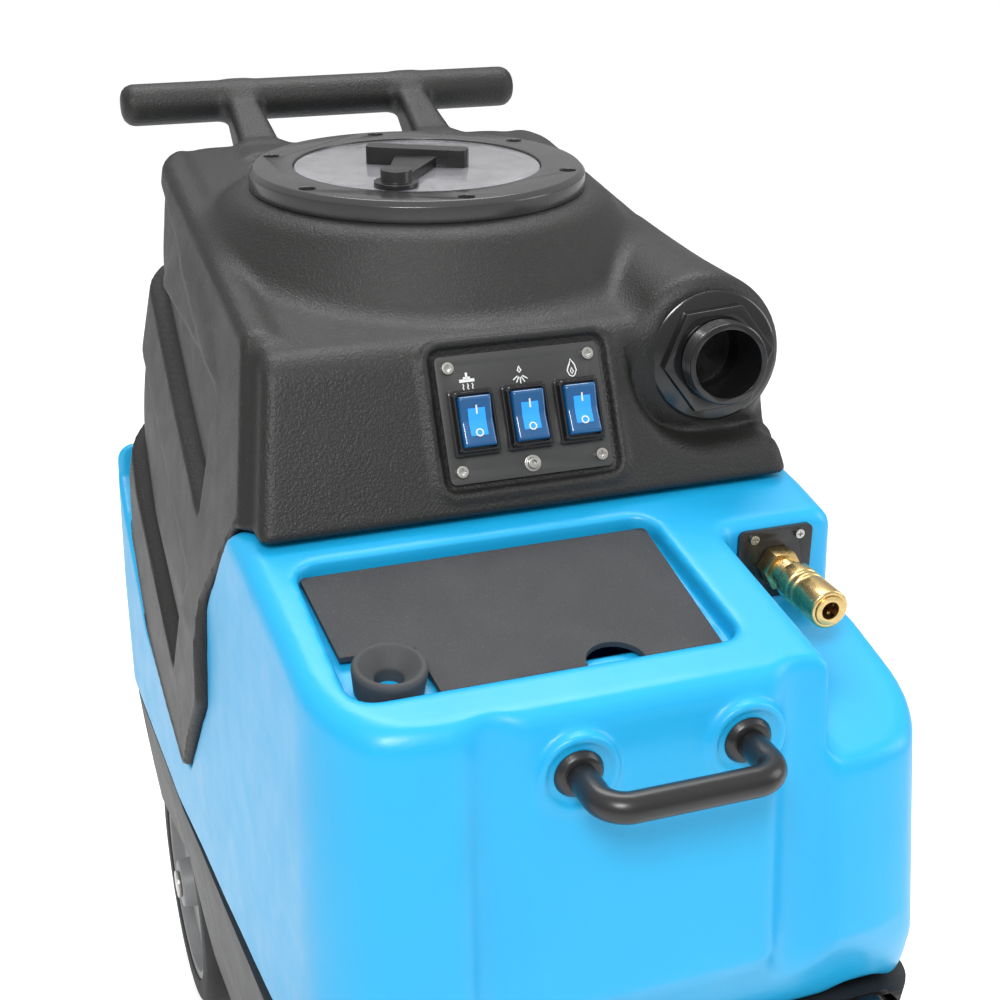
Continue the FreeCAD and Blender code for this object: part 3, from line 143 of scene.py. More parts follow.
class Field:
    """Signed distances on a regular grid; X, Y and Z broadcast against each other."""

    def __init__(self, low, high):
        self.step = SKIN_STEP
        self.low = np.array(low)
        counts = np.ceil((np.array(high) - self.low) / self.step).astype(int) + 1
        axes = [(self.low[k] + self.step * np.arange(counts[k])).astype(np.float32) for k in range(3)]
        self.x = axes[0][:, None, None]
        self.y = axes[1][None, :, None]
        self.z = axes[2][None, None, :]
        self.shape = tuple(counts)

    def mesh(self, name, values):
        """Surface where the values cross zero: one point per crossed cell, one face per crossed grid edge."""
        values = np.ascontiguousarray(np.broadcast_to(values, self.shape), dtype=np.float32)
        inside = values < 0
        filled = np.zeros(tuple(n - 1 for n in self.shape), np.int8)
        corners = [np.array((i, j, k)) for i in (0, 1) for j in (0, 1) for k in (0, 1)]
        for i, j, k in corners:
            filled += inside[i:self.shape[0] - 1 + i, j:self.shape[1] - 1 + j, k:self.shape[2] - 1 + k]
        crossed = (filled > 0) & (filled < 8)
        cells = np.argwhere(crossed)
        order = np.full(crossed.shape, -1, np.int32)
        order[crossed] = np.arange(len(cells))
        total = np.zeros((len(cells), 3))
        hits = np.zeros(len(cells))
        for first in corners:
            for axis in range(3):
                if first[axis]:
                    continue
                second = first.copy()
                second[axis] = 1
                low = values[tuple((cells + first).T)]
                high = values[tuple((cells + second).T)]
                hit = (low < 0) != (high < 0)
                share = low[hit] / (low[hit] - high[hit])
                total[hit] += first + share[:, None] * (second - first)
                hits[hit] += 1
        points = (cells + total / hits[:, None]) * self.step + self.low

        faces = []
        for axis in range(3):
            p, q = (axis + 1) % 3, (axis + 2) % 3
            start = [slice(None)] * 3
            end = [slice(None)] * 3
            start[axis], end[axis] = slice(0, -1), slice(1, None)
            for other in (p, q):
                start[other] = end[other] = slice(1, -1)
            change = inside[tuple(start)] != inside[tuple(end)]
            at = np.argwhere(change)
            at[:, p] += 1
            at[:, q] += 1
            outward = inside[tuple(at.T)]
            around = []
            for dp, dq in ((-1, -1), (0, -1), (0, 0), (-1, 0)):
                cell = at.copy()
                cell[:, p] += dp
                cell[:, q] += dq
                around.append(order[tuple(cell.T)])
            quad = np.stack(around, axis=1)
            quad[~outward] = quad[~outward][:, ::-1]
            faces.append(quad)
        mesh = bpy.data.meshes.new(name)
        mesh.from_pydata(points.tolist(), [], np.concatenate(faces).tolist())
        for face in mesh.polygons:
            face.use_smooth = True
        return mesh


def both(a, b, radius):
    """Intersection with its outer edge rounded to the radius."""
    a, b = a + radius, b + radius
    return np.minimum(np.maximum(a, b), 0) + np.hypot(np.maximum(a, 0), np.maximum(b, 0)) - radius


def either(a, b, radius):
    """Union with a fillet of about the radius in the corner."""
    return -both(-a, -b, radius)


def eased(a, b, reach):
    """Intersection of two faces that meet at a wide angle, rounded within the reach."""
    near = np.maximum(reach - np.abs(a - b), 0) / reach
    return np.maximum(a, b) + near * near * reach / 4


def without(a, b, radius):
    """a less b, with the rim rounded."""
    return both(a, -b, radius)


def ramp(value, start, end):
    t = np.clip((value - start) / (end - start), 0, 1)
    return t * t * (3 - 2 * t)


def past_line(u, v, start, end):
    """Distance to the left of the line from start to end."""
    (u0, v0), (u1, v1) = start, end
    length = math.hypot(u1 - u0, v1 - v0)
    return ((u - u0) * -(v1 - v0) + (v - v0) * (u1 - u0)) / length


def outline_distance(u, v, corners):
    """Signed distance from a closed outline, negative inside."""
    nearest = None
    inside = None
    count = len(corners)
    for i in range(count):
        (u0, v0), (u1, v1) = corners[i], corners[(i + 1) % count]
        du, dv = u1 - u0, v1 - v0
        t = np.clip(((u - u0) * du + (v - v0) * dv) / (du * du + dv * dv), 0, 1)
        gap = np.hypot(u - u0 - t * du, v - v0 - t * dv)
        nearest = gap if nearest is None else np.minimum(nearest, gap)
        crosses = ((v0 > v) != (v1 > v)) & (u < (u1 - u0) * (v - v0) / ((v1 - v0) or 1e-9) + u0)
        inside = crosses if inside is None else inside ^ crosses
    return np.where(inside, -nearest, nearest)


def blurred(values, sigma):
    """Soften a field that varies in Y and Z only."""
    reach = max(1, int(round(2.5 * sigma / SKIN_STEP)))
    weights = np.exp(-0.5 * (np.arange(-reach, reach + 1) * SKIN_STEP / sigma) ** 2)
    weights /= weights.sum()
    for axis in (1, 2):
        pad = [(0, 0)] * 3
        pad[axis] = (reach, reach)
        wide = np.pad(values, pad, mode="edge")
        total = 0
        for i, weight in enumerate(weights):
            cut = [slice(None)] * 3
            cut[axis] = slice(i, i + values.shape[axis])
            total = total + weight * wide[tuple(cut)]
        values = total
    return values.astype(np.float32)


def round_box(a, b, half_a, half_b, radius):
    """Distance from a flat rectangle with rounded corners."""
    qa, qb = np.abs(a) - half_a + radius, np.abs(b) - half_b + radius
    return np.hypot(np.maximum(qa, 0), np.maximum(qb, 0)) + np.minimum(np.maximum(qa, qb), 0) - radius


def tube_distance(field, start, end, radius):
    """Distance from an endless cylinder through two points, and the way along it from the first."""
    start, end = Vector(start), Vector(end)
    way = (end - start).normalized()
    dx, dy, dz = field.x - start.x, field.y - start.y, field.z - start.z
    along = dx * way.x + dy * way.y + dz * way.z
    square = dx * dx + dy * dy + dz * dz - along * along
    return np.sqrt(np.maximum(square, 0)) - radius, along


def between(z, table):
    """Value at each height from (height, value) pairs."""
    return np.interp(z, [row[0] for row in table], [row[1] for row in table]).astype(np.float32)


# ---------------------------------------------------------------- materials

def shader(name):
    material = bpy.data.materials.new(name)
    material.use_nodes = True
    tree = material.node_tree
    bsdf = tree.nodes["Principled BSDF"]
    coords = tree.nodes.new("ShaderNodeTexCoord")
    return material, tree, bsdf, coords


def noise(tree, coords, size, detail=2.0, roughness=0.5, distortion=0.0):
    """Noise with features about `size` metres across."""
    node = tree.nodes.new("ShaderNodeTexNoise")
    node.inputs["Scale"].default_value = 1.0 / size
    node.inputs["Detail"].default_value = detail
    node.inputs["Roughness"].default_value = roughness
    node.inputs["Distortion"].default_value = distortion
    tree.links.new(coords.outputs["Object"], node.inputs["Vector"])
    return node


def spread(tree, source, low, high, new_low, new_high):
    node = tree.nodes.new("ShaderNodeMapRange")
    node.inputs["From Min"].default_value = low
    node.inputs["From Max"].default_value = high
    node.inputs["To Min"].default_value = new_low
    node.inputs["To Max"].default_value = new_high
    tree.links.new(source, node.inputs["Value"])
    return node.outputs["Result"]


def mixed(tree, factor, first, second):
    """Blend of two colours, each a fixed colour or the output of another node."""
    node = tree.nodes.new("ShaderNodeMix")
    node.data_type = "RGBA"
    for key, colour in (("A", first), ("B", second)):
        if isinstance(colour, tuple):
            node.inputs[key].default_value = (*colour, 1)
        else:
            tree.links.new(colour, node.inputs[key])
    tree.links.new(factor, node.inputs["Factor"])
    return node.outputs["Result"]


def bumped(tree, bsdf, layers):
    """Stack bump layers: each is (height socket, strength, distance in metres)."""
    normal = None
    for height, strength, distance in layers:
        node = tree.nodes.new("ShaderNodeBump")
        node.inputs["Strength"].default_value = strength
        node.inputs["Distance"].default_value = distance
        tree.links.new(height, node.inputs["Height"])
        if normal is not None:
            tree.links.new(normal, node.inputs["Normal"])
        normal = node.outputs["Normal"]
    tree.links.new(normal, bsdf.inputs["Normal"])


def plastic(name, base, shade, rough, grain=0.0009, grain_depth=0.00012, peel=0.006, peel_depth=0.0002,
            speck=0.0, coat=0.0, specular=0.5):
    """Moulded plastic: fine grain, slow orange peel, faint clouding and worn speckles."""
    material, tree, bsdf, coords = shader(name)
    cloud = noise(tree, coords, 0.11, 3.0, 0.55)
    colour = mixed(tree, spread(tree, cloud.outputs["Fac"], 0.3, 0.7, 0, 1), base, shade)
    fine = noise(tree, coords, grain, 2.0, 0.6)
    if speck:
        light = tuple(min(1.0, c + speck) for c in base)
        dots = spread(tree, fine.outputs["Fac"], 0.6, 0.74, 0, 0.85)
        colour = mixed(tree, dots, colour, light)
    tree.links.new(colour, bsdf.inputs["Base Color"])
    smudge = noise(tree, coords, 0.035, 4.0, 0.6, 0.4)
    tree.links.new(
        spread(tree, smudge.outputs["Fac"], 0.25, 0.75, rough - 0.05, rough + 0.06),
        bsdf.inputs["Roughness"])
    slow = noise(tree, coords, peel, 1.0, 0.4)
    bumped(tree, bsdf, [(slow.outputs["Fac"], 0.35, peel_depth), (fine.outputs["Fac"], 0.6, grain_depth)])
    bsdf.inputs["Coat Weight"].default_value = coat
    bsdf.inputs["Coat Roughness"].default_value = 0.18
    bsdf.inputs["Specular IOR Level"].default_value = specular
    return material


def metal(name, base, shade, rough, scratch=0.0004, scratch_depth=0.00002):
    """Machined or plated metal with fine scratches and tarnish."""
    material, tree, bsdf, coords = shader(name)
    cloud = noise(tree, coords, 0.012, 4.0, 0.6, 0.6)
    colour = mixed(tree, spread(tree, cloud.outputs["Fac"], 0.3, 0.72, 0, 1), base, shade)
    tree.links.new(colour, bsdf.inputs["Base Color"])
    fine = noise(tree, coords, scratch, 3.0, 0.6)
    tree.links.new(
        spread(tree, cloud.outputs["Fac"], 0.25, 0.75, rough - 0.06, rough + 0.12),
        bsdf.inputs["Roughness"])
    bumped(tree, bsdf, [(fine.outputs["Fac"], 0.4, scratch_depth)])
    bsdf.inputs["Metallic"].default_value = 1.0
    return material


def clear_plastic(name):
    """Clear lid: slightly frosted, with faint swirls and dust."""
    material, tree, bsdf, coords = shader(name)
    swirl = noise(tree, coords, 0.03, 5.0, 0.65, 1.5)
    colour = mixed(tree, spread(tree, swirl.outputs["Fac"], 0.35, 0.7, 0, 1), (0.42, 0.42, 0.45),
                   (0.62, 0.62, 0.65))
    tree.links.new(colour, bsdf.inputs["Base Color"])
    tree.links.new(spread(tree, swirl.outputs["Fac"], 0.3, 0.7, 0.10, 0.26), bsdf.inputs["Roughness"])
    bumped(tree, bsdf, [(swirl.outputs["Fac"], 0.25, 0.0006)])
    bsdf.inputs["Transmission Weight"].default_value = 0.55
    bsdf.inputs["IOR"].default_value = 1.5
    bsdf.inputs["Coat Weight"].default_value = 0.6
    bsdf.inputs["Coat Roughness"].default_value = 0.06
    return material


def glow_window(name, base, shade):
    """Lit translucent window of a rocker."""
    material, tree, bsdf, coords = shader(name)
    cloud = noise(tree, coords, 0.01, 2.0)
    tree.links.new(mixed(tree, cloud.outputs["Fac"], base, shade), bsdf.inputs["Base Color"])
    bsdf.inputs["Roughness"].default_value = 0.22
    bsdf.inputs["Emission Color"].default_value = (*base, 1)
    bsdf.inputs["Emission Strength"].default_value = 0.35
    bumped(tree, bsdf, [(cloud.outputs["Fac"], 0.15, 0.0001)])
    return material


BLACK_TANK = plastic("tank_black_grain", (0.0115, 0.0113, 0.0108), (0.016, 0.0157, 0.015), 0.47,
                     grain=0.0019, grain_depth=0.0011, peel=0.012, peel_depth=0.0003, speck=0.02,
                     specular=0.45)
BLACK_BASE = plastic("base_black_grain", (0.012, 0.012, 0.012), (0.018, 0.018, 0.018), 0.48,
                     grain=0.0012, grain_depth=0.0003, speck=0.015)
BLUE_TANK = plastic("tank_blue_sheen", (0.012, 0.42, 0.78), (0.010, 0.395, 0.75), 0.36,
                    grain=0.0016, grain_depth=0.00012, peel=0.014, peel_depth=0.0004)
SATIN_BLACK = plastic("satin_black", (0.012, 0.012, 0.013), (0.02, 0.02, 0.021), 0.30, grain_depth=0.00004)
GLOSS_BLACK = plastic("gloss_black", (0.008, 0.008, 0.009), (0.013, 0.013, 0.014), 0.16,
                      grain_depth=0.00002, coat=0.4)
RING_BLACK = plastic("ring_black_satin", (0.026, 0.026, 0.027), (0.035, 0.035, 0.036), 0.26,
                     grain_depth=0.00003, coat=0.3)
PLATE_BLACK = plastic("plate_black", (0.042, 0.043, 0.042), (0.052, 0.053, 0.052), 0.40,
                      grain_depth=0.00005)
HATCH_GREY = plastic("hatch_sandy", (0.030, 0.031, 0.034), (0.040, 0.041, 0.044), 0.64,
                     grain=0.0012, grain_depth=0.0006, speck=0.06)
RUBBER = plastic("grey_rubber", (0.045, 0.047, 0.050), (0.065, 0.067, 0.070), 0.68, grain_depth=0.0002)
TYRE = plastic("tyre_rubber", (0.018, 0.018, 0.018), (0.03, 0.03, 0.03), 0.72, grain_depth=0.0002)
HUB_GREY = plastic("hub_nylon", (0.20, 0.205, 0.21), (0.25, 0.255, 0.26), 0.45)
SWITCH_BLUE = plastic("switch_deep_blue", (0.004, 0.07, 0.20), (0.006, 0.10, 0.27), 0.14,
                      grain_depth=0.00001, coat=0.8)
WINDOW_BLUE = glow_window("switch_window_blue", (0.02, 0.26, 0.86), (0.03, 0.32, 0.95))
PRINT_WHITE = plastic("white_print", (0.80, 0.81, 0.82), (0.72, 0.73, 0.74), 0.5, grain_depth=0.00002)
FLOAT_WHITE = plastic("float_white", (0.74, 0.73, 0.69), (0.66, 0.65, 0.61), 0.45)
ZINC = metal("zinc", (0.62, 0.61, 0.58), (0.48, 0.47, 0.45), 0.28)
BRASS = metal("brass", (0.80, 0.60, 0.28), (0.62, 0.44, 0.18), 0.24)
DARK_STEEL = metal("dark_steel", (0.09, 0.09, 0.092), (0.05, 0.05, 0.052), 0.38)
ALUMINIUM = metal("cast_aluminium", (0.55, 0.56, 0.57), (0.42, 0.43, 0.44), 0.45)
CLEAR = clear_plastic("clear_lid_plastic")

SLOT_LOOK = {
    "tank_black": BLACK_TANK, "base_black": BLACK_BASE, "tank_blue": BLUE_TANK, "ring_black": RING_BLACK,
    "lid_clear": CLEAR, "panel_black": PLATE_BLACK, "switch_blue": SWITCH_BLUE,
    "hatch_grey": HATCH_GREY, "inlet_black": SATIN_BLACK, "handle_black": SATIN_BLACK, "zinc_steel": ZINC,
    "black_steel": DARK_STEEL, "brass": BRASS, "soft_rubber": RUBBER, "float_white": FLOAT_WHITE,
    "hub_grey": HUB_GREY, "tyre_black": TYRE, "caster_rubber": RUBBER, "floor_plate": BLACK_BASE,
    "motor_metal": ALUMINIUM}


def paint_cad_nodes():
    """Every CAD node gets its slot's material, whether or not it is replaced later."""
    for node, piece in nodes.items():
        piece.data.materials.clear()
        piece.data.materials.append(SLOT_LOOK[slot_of[node]])


paint_cad_nodes()


# ---------------------------------------------------------------- recovery tank

FACE_FOOT = (-0.169, 0.720)
FACE_TOP = (-0.1142, 0.829)
ROOF_REAR = (0.311, 0.886)
SADDLE = [(0.336, 0.575), (0.312, 0.544), (0.223, 0.463), (0.126, 0.441), (0.040, 0.429), (-0.043, 0.538),
          (-0.051, 0.626), (-0.129, 0.720)]
HALF_WIDTHS = [(0.415, 0.231), (0.590, 0.227), (0.720, 0.206), (0.829, 0.186), (0.900, 0.176)]
REAR_WALLS = [(0.415, 0.346), (0.590, 0.341), (0.720, 0.331), (0.829, 0.322), (0.900, 0.317)]


def channel_depth(field, upper, lower, front_upper, front_lower, depth):
    """How far one shingled channel sinks the side: slowly at first, deepest above its lower edge."""
    above = past_line(field.y, field.z, *upper)
    below = past_line(field.y, field.z, *lower)
    width = below - above
    share = np.clip(-above / np.maximum(width, 1e-4), 0, 1)
    roll = 1 - np.sqrt(np.maximum(1 - (0.96 * share) ** 2, 0))
    crease = 0.22 * ramp(-above, 0.0, 0.007)
    wall = ramp(below, 0.0, 0.007)
    ahead = past_line(field.y, field.z, front_upper, front_lower)
    tip = ramp(ahead, 0.0, 0.016)
    return depth * np.minimum(roll * 0.78 + crease, 1) * wall * tip * (above < 0)


PROUD = 0.008                                  # the side panels stand out by this
LOUVRE_DEPTH = 0.020
DRUM_RADIUS = 0.147
DRUM_TOP = 0.889
DRUM_SLOPE = (0.753, 0.657)                    # outward and upward share of the drum wall's normal
LID_HOLE = 0.0905
NACELLE_RADIUS = 0.058
INLET_RADIUS = 0.0303
PANEL_HALF = (0.0655, 0.0495)
BAR = (0.412, 0.908)                           # Y and Z of the carrying bar
BAR_RADIUS = 0.019
BAR_HALF = 0.191
POST_X = 0.082
WELL_FLOOR = 0.80                              # bottom of the well under the clear lid
PIT_GAP = 0.004


def node_box(node):
    """Lowest and highest corner of a CAD node."""
    points = np.array([vertex.co for vertex in nodes[node].data.vertices])
    return points.min(axis=0), points.max(axis=0)


def float_pit(field):
    """Open room round the float cage, deep enough for the ball's whole travel."""
    low, high = node_box("float_cage")
    ball_low, _ = node_box("float_ball")
    middle = (low + high) / 2
    wall = np.hypot(field.x - middle[0], field.y - middle[1]) - (high[0] - low[0]) / 2 - PIT_GAP
    floor = min(low[2], ball_low[2]) - PIT_GAP
    return np.maximum(np.maximum(wall, floor - field.z), field.z - WELL_FLOOR - PIT_GAP)


def recovery_field(field):
    x, y, z = field.x, field.y, field.z
    side = np.abs(x)
    face = -past_line(y, z, FACE_TOP, FACE_FOOT)
    roof = past_line(y, z, FACE_TOP, ROOF_REAR)
    above_saddle = [(-0.6, 0.720), (-0.6, 1.3), (0.7, 1.3), (0.7, 0.575)] + SADDLE
    under = blurred(outline_distance(y, z, above_saddle), 0.004)

    # the side panels stand proud of the block behind the front face, with a rim along the wing
    proud = PROUD * ramp(-face, 0.020, 0.031)
    rim = 0.0018 * (1 - ramp(-under, 0.0045, 0.0065)) * ramp(-face, 0.031, 0.034)
    channels = channel_depth(
        field, ((-0.032, 0.776), (0.175, 0.838)), ((0.012, 0.684), (0.256, 0.766)),
        (-0.034, 0.790), (-0.013, 0.672), LOUVRE_DEPTH)
    channels = channels + channel_depth(
        field, ((-0.008, 0.620), (0.250, 0.704)), ((0.070, 0.500), (0.304, 0.622)),
        (-0.010, 0.630), (0.086, 0.482), LOUVRE_DEPTH)
    half = between(z, HALF_WIDTHS) - PROUD + proud + rim
    flank = side - (half - channels)
    rear = y - between(z, REAR_WALLS)
    plan = both(flank, rear, 0.055)
    edge = between(z, HALF_WIDTHS)
    rim_roof = roof - 0.005 * ramp(side, edge - 0.034, edge - 0.014) * ramp(-face, 0.020, 0.031)
    body = both(both(face, rim_roof, 0.012), plan, 0.009)

    # drum under the lid
    ring = np.hypot(x, y - LID_AXIS.y)
    cone = (ring - DRUM_RADIUS) * DRUM_SLOPE[0] + (z - DRUM_TOP) * DRUM_SLOPE[1]
    drum = both(both(cone, z - DRUM_TOP, 0.010), side - between(z, HALF_WIDTHS), 0.012)
    drum = np.maximum(drum, 0.79 - z)
    body = either(body, drum, 0.008)

    # room in front of the hose inlet, and the round housing behind it
    scoop = np.maximum(both(0.086 - x, 0.745 - z, 0.052), y + 0.122)
    body = without(body, scoop, 0.009)
    radius = NACELLE_RADIUS - 0.040 * np.clip((y - 0.068) / 0.110, 0, 1)
    nacelle = np.hypot(x - INLET.x + 0.002, z - INLET.z) - radius
    front = (x - INLET.x) * INLET_OUT.x + (y - INLET.y) * INLET_OUT.y + (z - INLET.z) * INLET_OUT.z
    nacelle = both(both(nacelle, front, 0.012), y - 0.20, 0.01)
    body = either(body, nacelle, 0.010)
    body = both(body, under, 0.005)

    # switch recess with its raised lip
    across_panel = x + 0 * y
    up_panel = (y - PANEL.y) * PANEL_UP.y + (z - PANEL.z) * PANEL_UP.z
    off_panel = (y - PANEL.y) * PANEL_OUT.y + (z - PANEL.z) * PANEL_OUT.z
    frame_gap = round_box(across_panel, up_panel, *PANEL_HALF, 0.009)
    lip = np.hypot(frame_gap - 0.0035, off_panel + 0.0012) - 0.0035
    body = either(body, lip, 0.003)
    body = without(body, np.maximum(frame_gap, -off_panel - 0.0042), 0.0015)

    # openings under the lid and behind the hose inlet
    body = np.maximum(body, -np.maximum(ring - LID_HOLE, WELL_FLOOR - z))
    body = np.maximum(body, -float_pit(field))
    mouth, along = tube_distance(field, INLET, INLET + INLET_OUT, INLET_RADIUS)
    body = np.maximum(body, -np.maximum(mouth, -0.03 - along))

    # carrying bar on its two posts
    bar = both(np.hypot(y - BAR[0], z - BAR[1]) - BAR_RADIUS, side - BAR_HALF, 0.012)
    share = np.clip((y - 0.303) / 0.109, 0, 1)
    post = round_box(side - POST_X, z - (0.8575 + 0.050 * share), 0.020 - 0.0065 * share,
                     0.0255 - 0.011 * share, 0.008)
    post = np.maximum(post, np.maximum(0.28 - y, y - BAR[0]))
    return either(either(body, post, 0.012), bar, 0.010)


# ---------------------------------------------------------------- solution tank

SLOPE = math.radians(8)
CORNER_STEP = 0.045                            # set-back of the shoulder behind the nose
TANK_BACK = 0.382
VALLEYS = ((-0.108, 0.024), (0.099, 0.026))    # X and radius of the grooves beside the front panel
HANDLE = (0.056, 0.647)                        # X to either side, and Z, of the front handle's feet
DRAIN = (0.168, 0.386)
COUPLER = (0.161, 0.676)
DECK = Vector((0, -0.190, 0.699))


def solution_field(field):
    x, y, z = field.x, field.y, field.z
    side = np.abs(x)
    deck = past_line(y, z, (-0.374, 0.686), (-0.168, 0.715))
    face = -past_line(y, z, (-0.374, 0.686), (-0.399, 0.490))
    front_top = both(deck, face, 0.014)
    rest = outline_distance(y, z, [
        (-0.60, 0.9), (-0.168, 0.9), (-0.168, 0.715), (-0.129, 0.718), (0, 0.718), (0.352, 0.600),
        (0.376, 0.480),
        (0.376, 0.340), (0.112, 0.340), (0.019, 0.355), (-0.069, 0.365), (-0.211, 0.385), (-0.364, 0.413),
        (-0.399, 0.490), (-0.60, 0.52)])
    profile = np.maximum(front_top, blurred(rest, 0.003))

    levels = (0.330, 0.460, 0.600, 0.725)
    front = between(z, list(zip(levels, (0.412, 0.410, 0.392, 0.376))))
    nose = between(z, list(zip(levels, (0.165, 0.165, 0.162, 0.160))))
    shoulder = between(z, list(zip(levels, (0.214, 0.214, 0.209, 0.204))))
    rear = between(z, list(zip(levels, (0.236, 0.236, 0.233, 0.230))))
    run = np.hypot(shoulder - nose, CORNER_STEP)
    corner = ((side - nose) * CORNER_STEP - (y + front) * (shoulder - nose)) / run
    depth = TANK_BACK - CORNER_STEP + front
    span = np.hypot(rear - shoulder, depth)
    flank = ((side - shoulder) * depth - (y - CORNER_STEP + front) * (rear - shoulder)) / span
    plan = eased(eased(-front - y, corner, 0.030), flank, 0.030)
    plan = both(plan, y - TANK_BACK + 0.001, 0.05)
    body = both(profile, plan, 0.015)

    # saddle for the recovery tank
    nest = outline_distance(y, z, [FACE_FOOT, FACE_TOP, ROOF_REAR] + SADDLE) - 0.0015
    body = without(body, blurred(nest, 0.003), 0.004)

    # pocket for the coupler
    pocket = outline_distance(y, z, [
        (-0.60, 0.569), (-0.254, 0.642), (-0.226, 0.644), (-0.214, 0.646), (-0.214, 0.760), (-0.60, 0.760)])
    pocket = both(blurred(pocket, 0.004), 0.118 - x, 0.012)
    body = without(body, pocket, 0.010)

    # valleys beside the raised front panel
    for place, depth in VALLEYS:
        valley, _ = tube_distance(field, (place, -0.418, 0.420), (place, -0.388, 0.700), depth)
        body = without(body, valley, 0.006)

    # hatch recess with the filling mouth below
    along = (y - DECK.y) * math.cos(SLOPE) + (z - DECK.z) * math.sin(SLOPE)
    up = -(y - DECK.y) * math.sin(SLOPE) + (z - DECK.z) * math.cos(SLOPE)
    recess = round_box(x + 0.052, along + 0.067, 0.128, 0.075, 0.018)
    body = without(body, np.maximum(recess, -0.003 - up), 0.004)
    mouth = round_box(x + 0.039, along + 0.068, 0.079, 0.050, 0.012)
    body = np.maximum(body, -np.maximum(mouth, -0.06 - up))

    # seats of the handle flanges, arch over the drain cap, hole for the coupler
    for place in (-HANDLE[0], HANDLE[0]):
        ring, _ = tube_distance(field, (place, -0.4, HANDLE[1]), (place, -0.3, HANDLE[1]), 0.0)
        collar = both(ring - 0.0265, -0.3825 - y, 0.003)
        body = either(body, np.maximum(collar, y + 0.36), 0.004)
        body = without(body, np.maximum(ring - 0.0212, y + 0.3795), 0.003)
    arch, _ = tube_distance(field, (DRAIN[0], -0.4, DRAIN[1]), (DRAIN[0], -0.3, DRAIN[1]), 0.036)
    body = without(body, np.maximum(arch, y + 0.36), 0.006)
    hole, _ = tube_distance(field, (COUPLER[0], -0.4, COUPLER[1]), (COUPLER[0], -0.3, COUPLER[1]), 0.0115)
    return np.maximum(body, -np.maximum(hole, y + 0.195))


def skin(node, low, high, values, material):
    """A moulded shell's outer surface replaces its CAD node."""
    field = Field(low, high)
    piece = link(node + "_skin", field.mesh(node + "_skin", values(field)))
    faces = sum(len(face.vertices) - 2 for face in piece.data.polygons)
    if faces > SKIN_FACES:
        thin = piece.modifiers.new("thin", "DECIMATE")
        thin.ratio = SKIN_FACES / faces
        baked(piece)
        for face in piece.data.polygons:
            face.use_smooth = True
    return stand_for(piece, node, material)


skin("recovery_tank", (-0.246, -0.186, 0.417), (0.246, 0.444, 0.939), recovery_field, BLACK_TANK)
skin("solution_tank", (-0.249, -0.426, 0.327), (0.249, 0.396, 0.736), solution_field, BLUE_TANK)


# ---------------------------------------------------------------- the other CAD shapes, with their edges
# eased

EASED = [
    ("base_housing", 0.004, BLACK_BASE), ("lid_ring", 0.0022, RING_BLACK), ("clear_lid", 0.0012, CLEAR),
    ("lid_handle", 0.0018, SATIN_BLACK), ("hose_inlet", 0.0008, GLOSS_BLACK),
    ("hose_inlet_nut", 0.0014, GLOSS_BLACK),
    ("inlet_elbow", 0.0008, GLOSS_BLACK), ("switch_plate", 0.0008, PLATE_BLACK),
    ("panel_bolt", 0.0004, ZINC),
    ("switch_plate_screws", 0.0004, ZINC), ("access_lid", 0.0009, HATCH_GREY),
    ("rubber_cup", 0.0012, RUBBER),
    ("front_handle", 0.001, SATIN_BLACK), ("handle_flanges", 0.0012, SATIN_BLACK),
    ("handle_bolts", 0.0004, ZINC),
    ("coupler_plate", 0.0012, SATIN_BLACK), ("coupler_plate_screws", 0.0003, ZINC),
    ("coupler_body", 0.0006, BRASS),
    ("coupler_sleeve", 0.0006, BRASS), ("drain_cap", 0.0018, GLOSS_BLACK),
    ("drain_stub", 0.0008, SATIN_BLACK),
    ("base_plate", 0.0006, BLACK_BASE), ("power_inlet", 0.0008, SATIN_BLACK),
    ("lid_ring_screws", 0.0004, ZINC),
    ("rear_hub_left", 0.0015, HUB_GREY), ("rear_hub_right", 0.0015, HUB_GREY),
    ("rear_tyre_left", 0.002, TYRE),
    ("rear_tyre_right", 0.002, TYRE), ("wheel_retainers", 0.0008, ZINC), ("caster_fork_left", 0.0008, ZINC),
    ("caster_fork_right", 0.0008, ZINC), ("caster_wheel_left", 0.002, RUBBER),
    ("caster_wheel_right", 0.002, RUBBER),
    ("caster_plates", 0.0008, ZINC), ("axle_brackets", 0.0008, ZINC), ("lid_gasket", 0.0004, RUBBER),
    ("float_ball", 0.0004, FLOAT_WHITE), ("hatch_hinge_rod", 0.0004, DARK_STEEL)]
for eased_node, eased_width, eased_material in EASED:
    softened(eased_node, eased_node + "_eased", eased_width, eased_material)


# ---------------------------------------------------------------- switches and print

SWITCH_PITCH = 0.039
SWITCH_ROW = -0.003                            # height of the rockers' centres on the panel
CAP_HALF = 0.0176
CAP_VALLEY = 0.0098
CAP_RISE = 0.0026
PRINT_THICK = 0.00025


def cap_level(up):
    """Height of a rocker's face above the panel, at a distance up from its own centre."""
    return CAP_VALLEY + CAP_RISE * abs(up) / CAP_HALF


def on_panel(x, up, out):
    return PANEL + PANEL_X * x + PANEL_UP * up + PANEL_OUT * out


def plate_loop(bm, centre_x, centre_up, half_x, half_up, radius, out, segments=6):
    """Rounded rectangle of vertices on the panel."""
    loop = []
    for corner, (sx, su) in enumerate(((1, 1), (-1, 1), (-1, -1), (1, -1))):
        for k in range(segments + 1):
            angle = math.radians(90 * corner + 90 * k / segments)
            x = centre_x + sx * (half_x - radius) + radius * math.cos(angle)
            up = centre_up + su * (half_up - radius) + radius * math.sin(angle)
            loop.append(bm.verts.new(on_panel(x, up, out)))
    return loop


def bridge(bm, first, second):
    for i in range(len(first)):
        j = (i + 1) % len(first)
        bm.faces.new((first[i], first[j], second[j], second[i]))


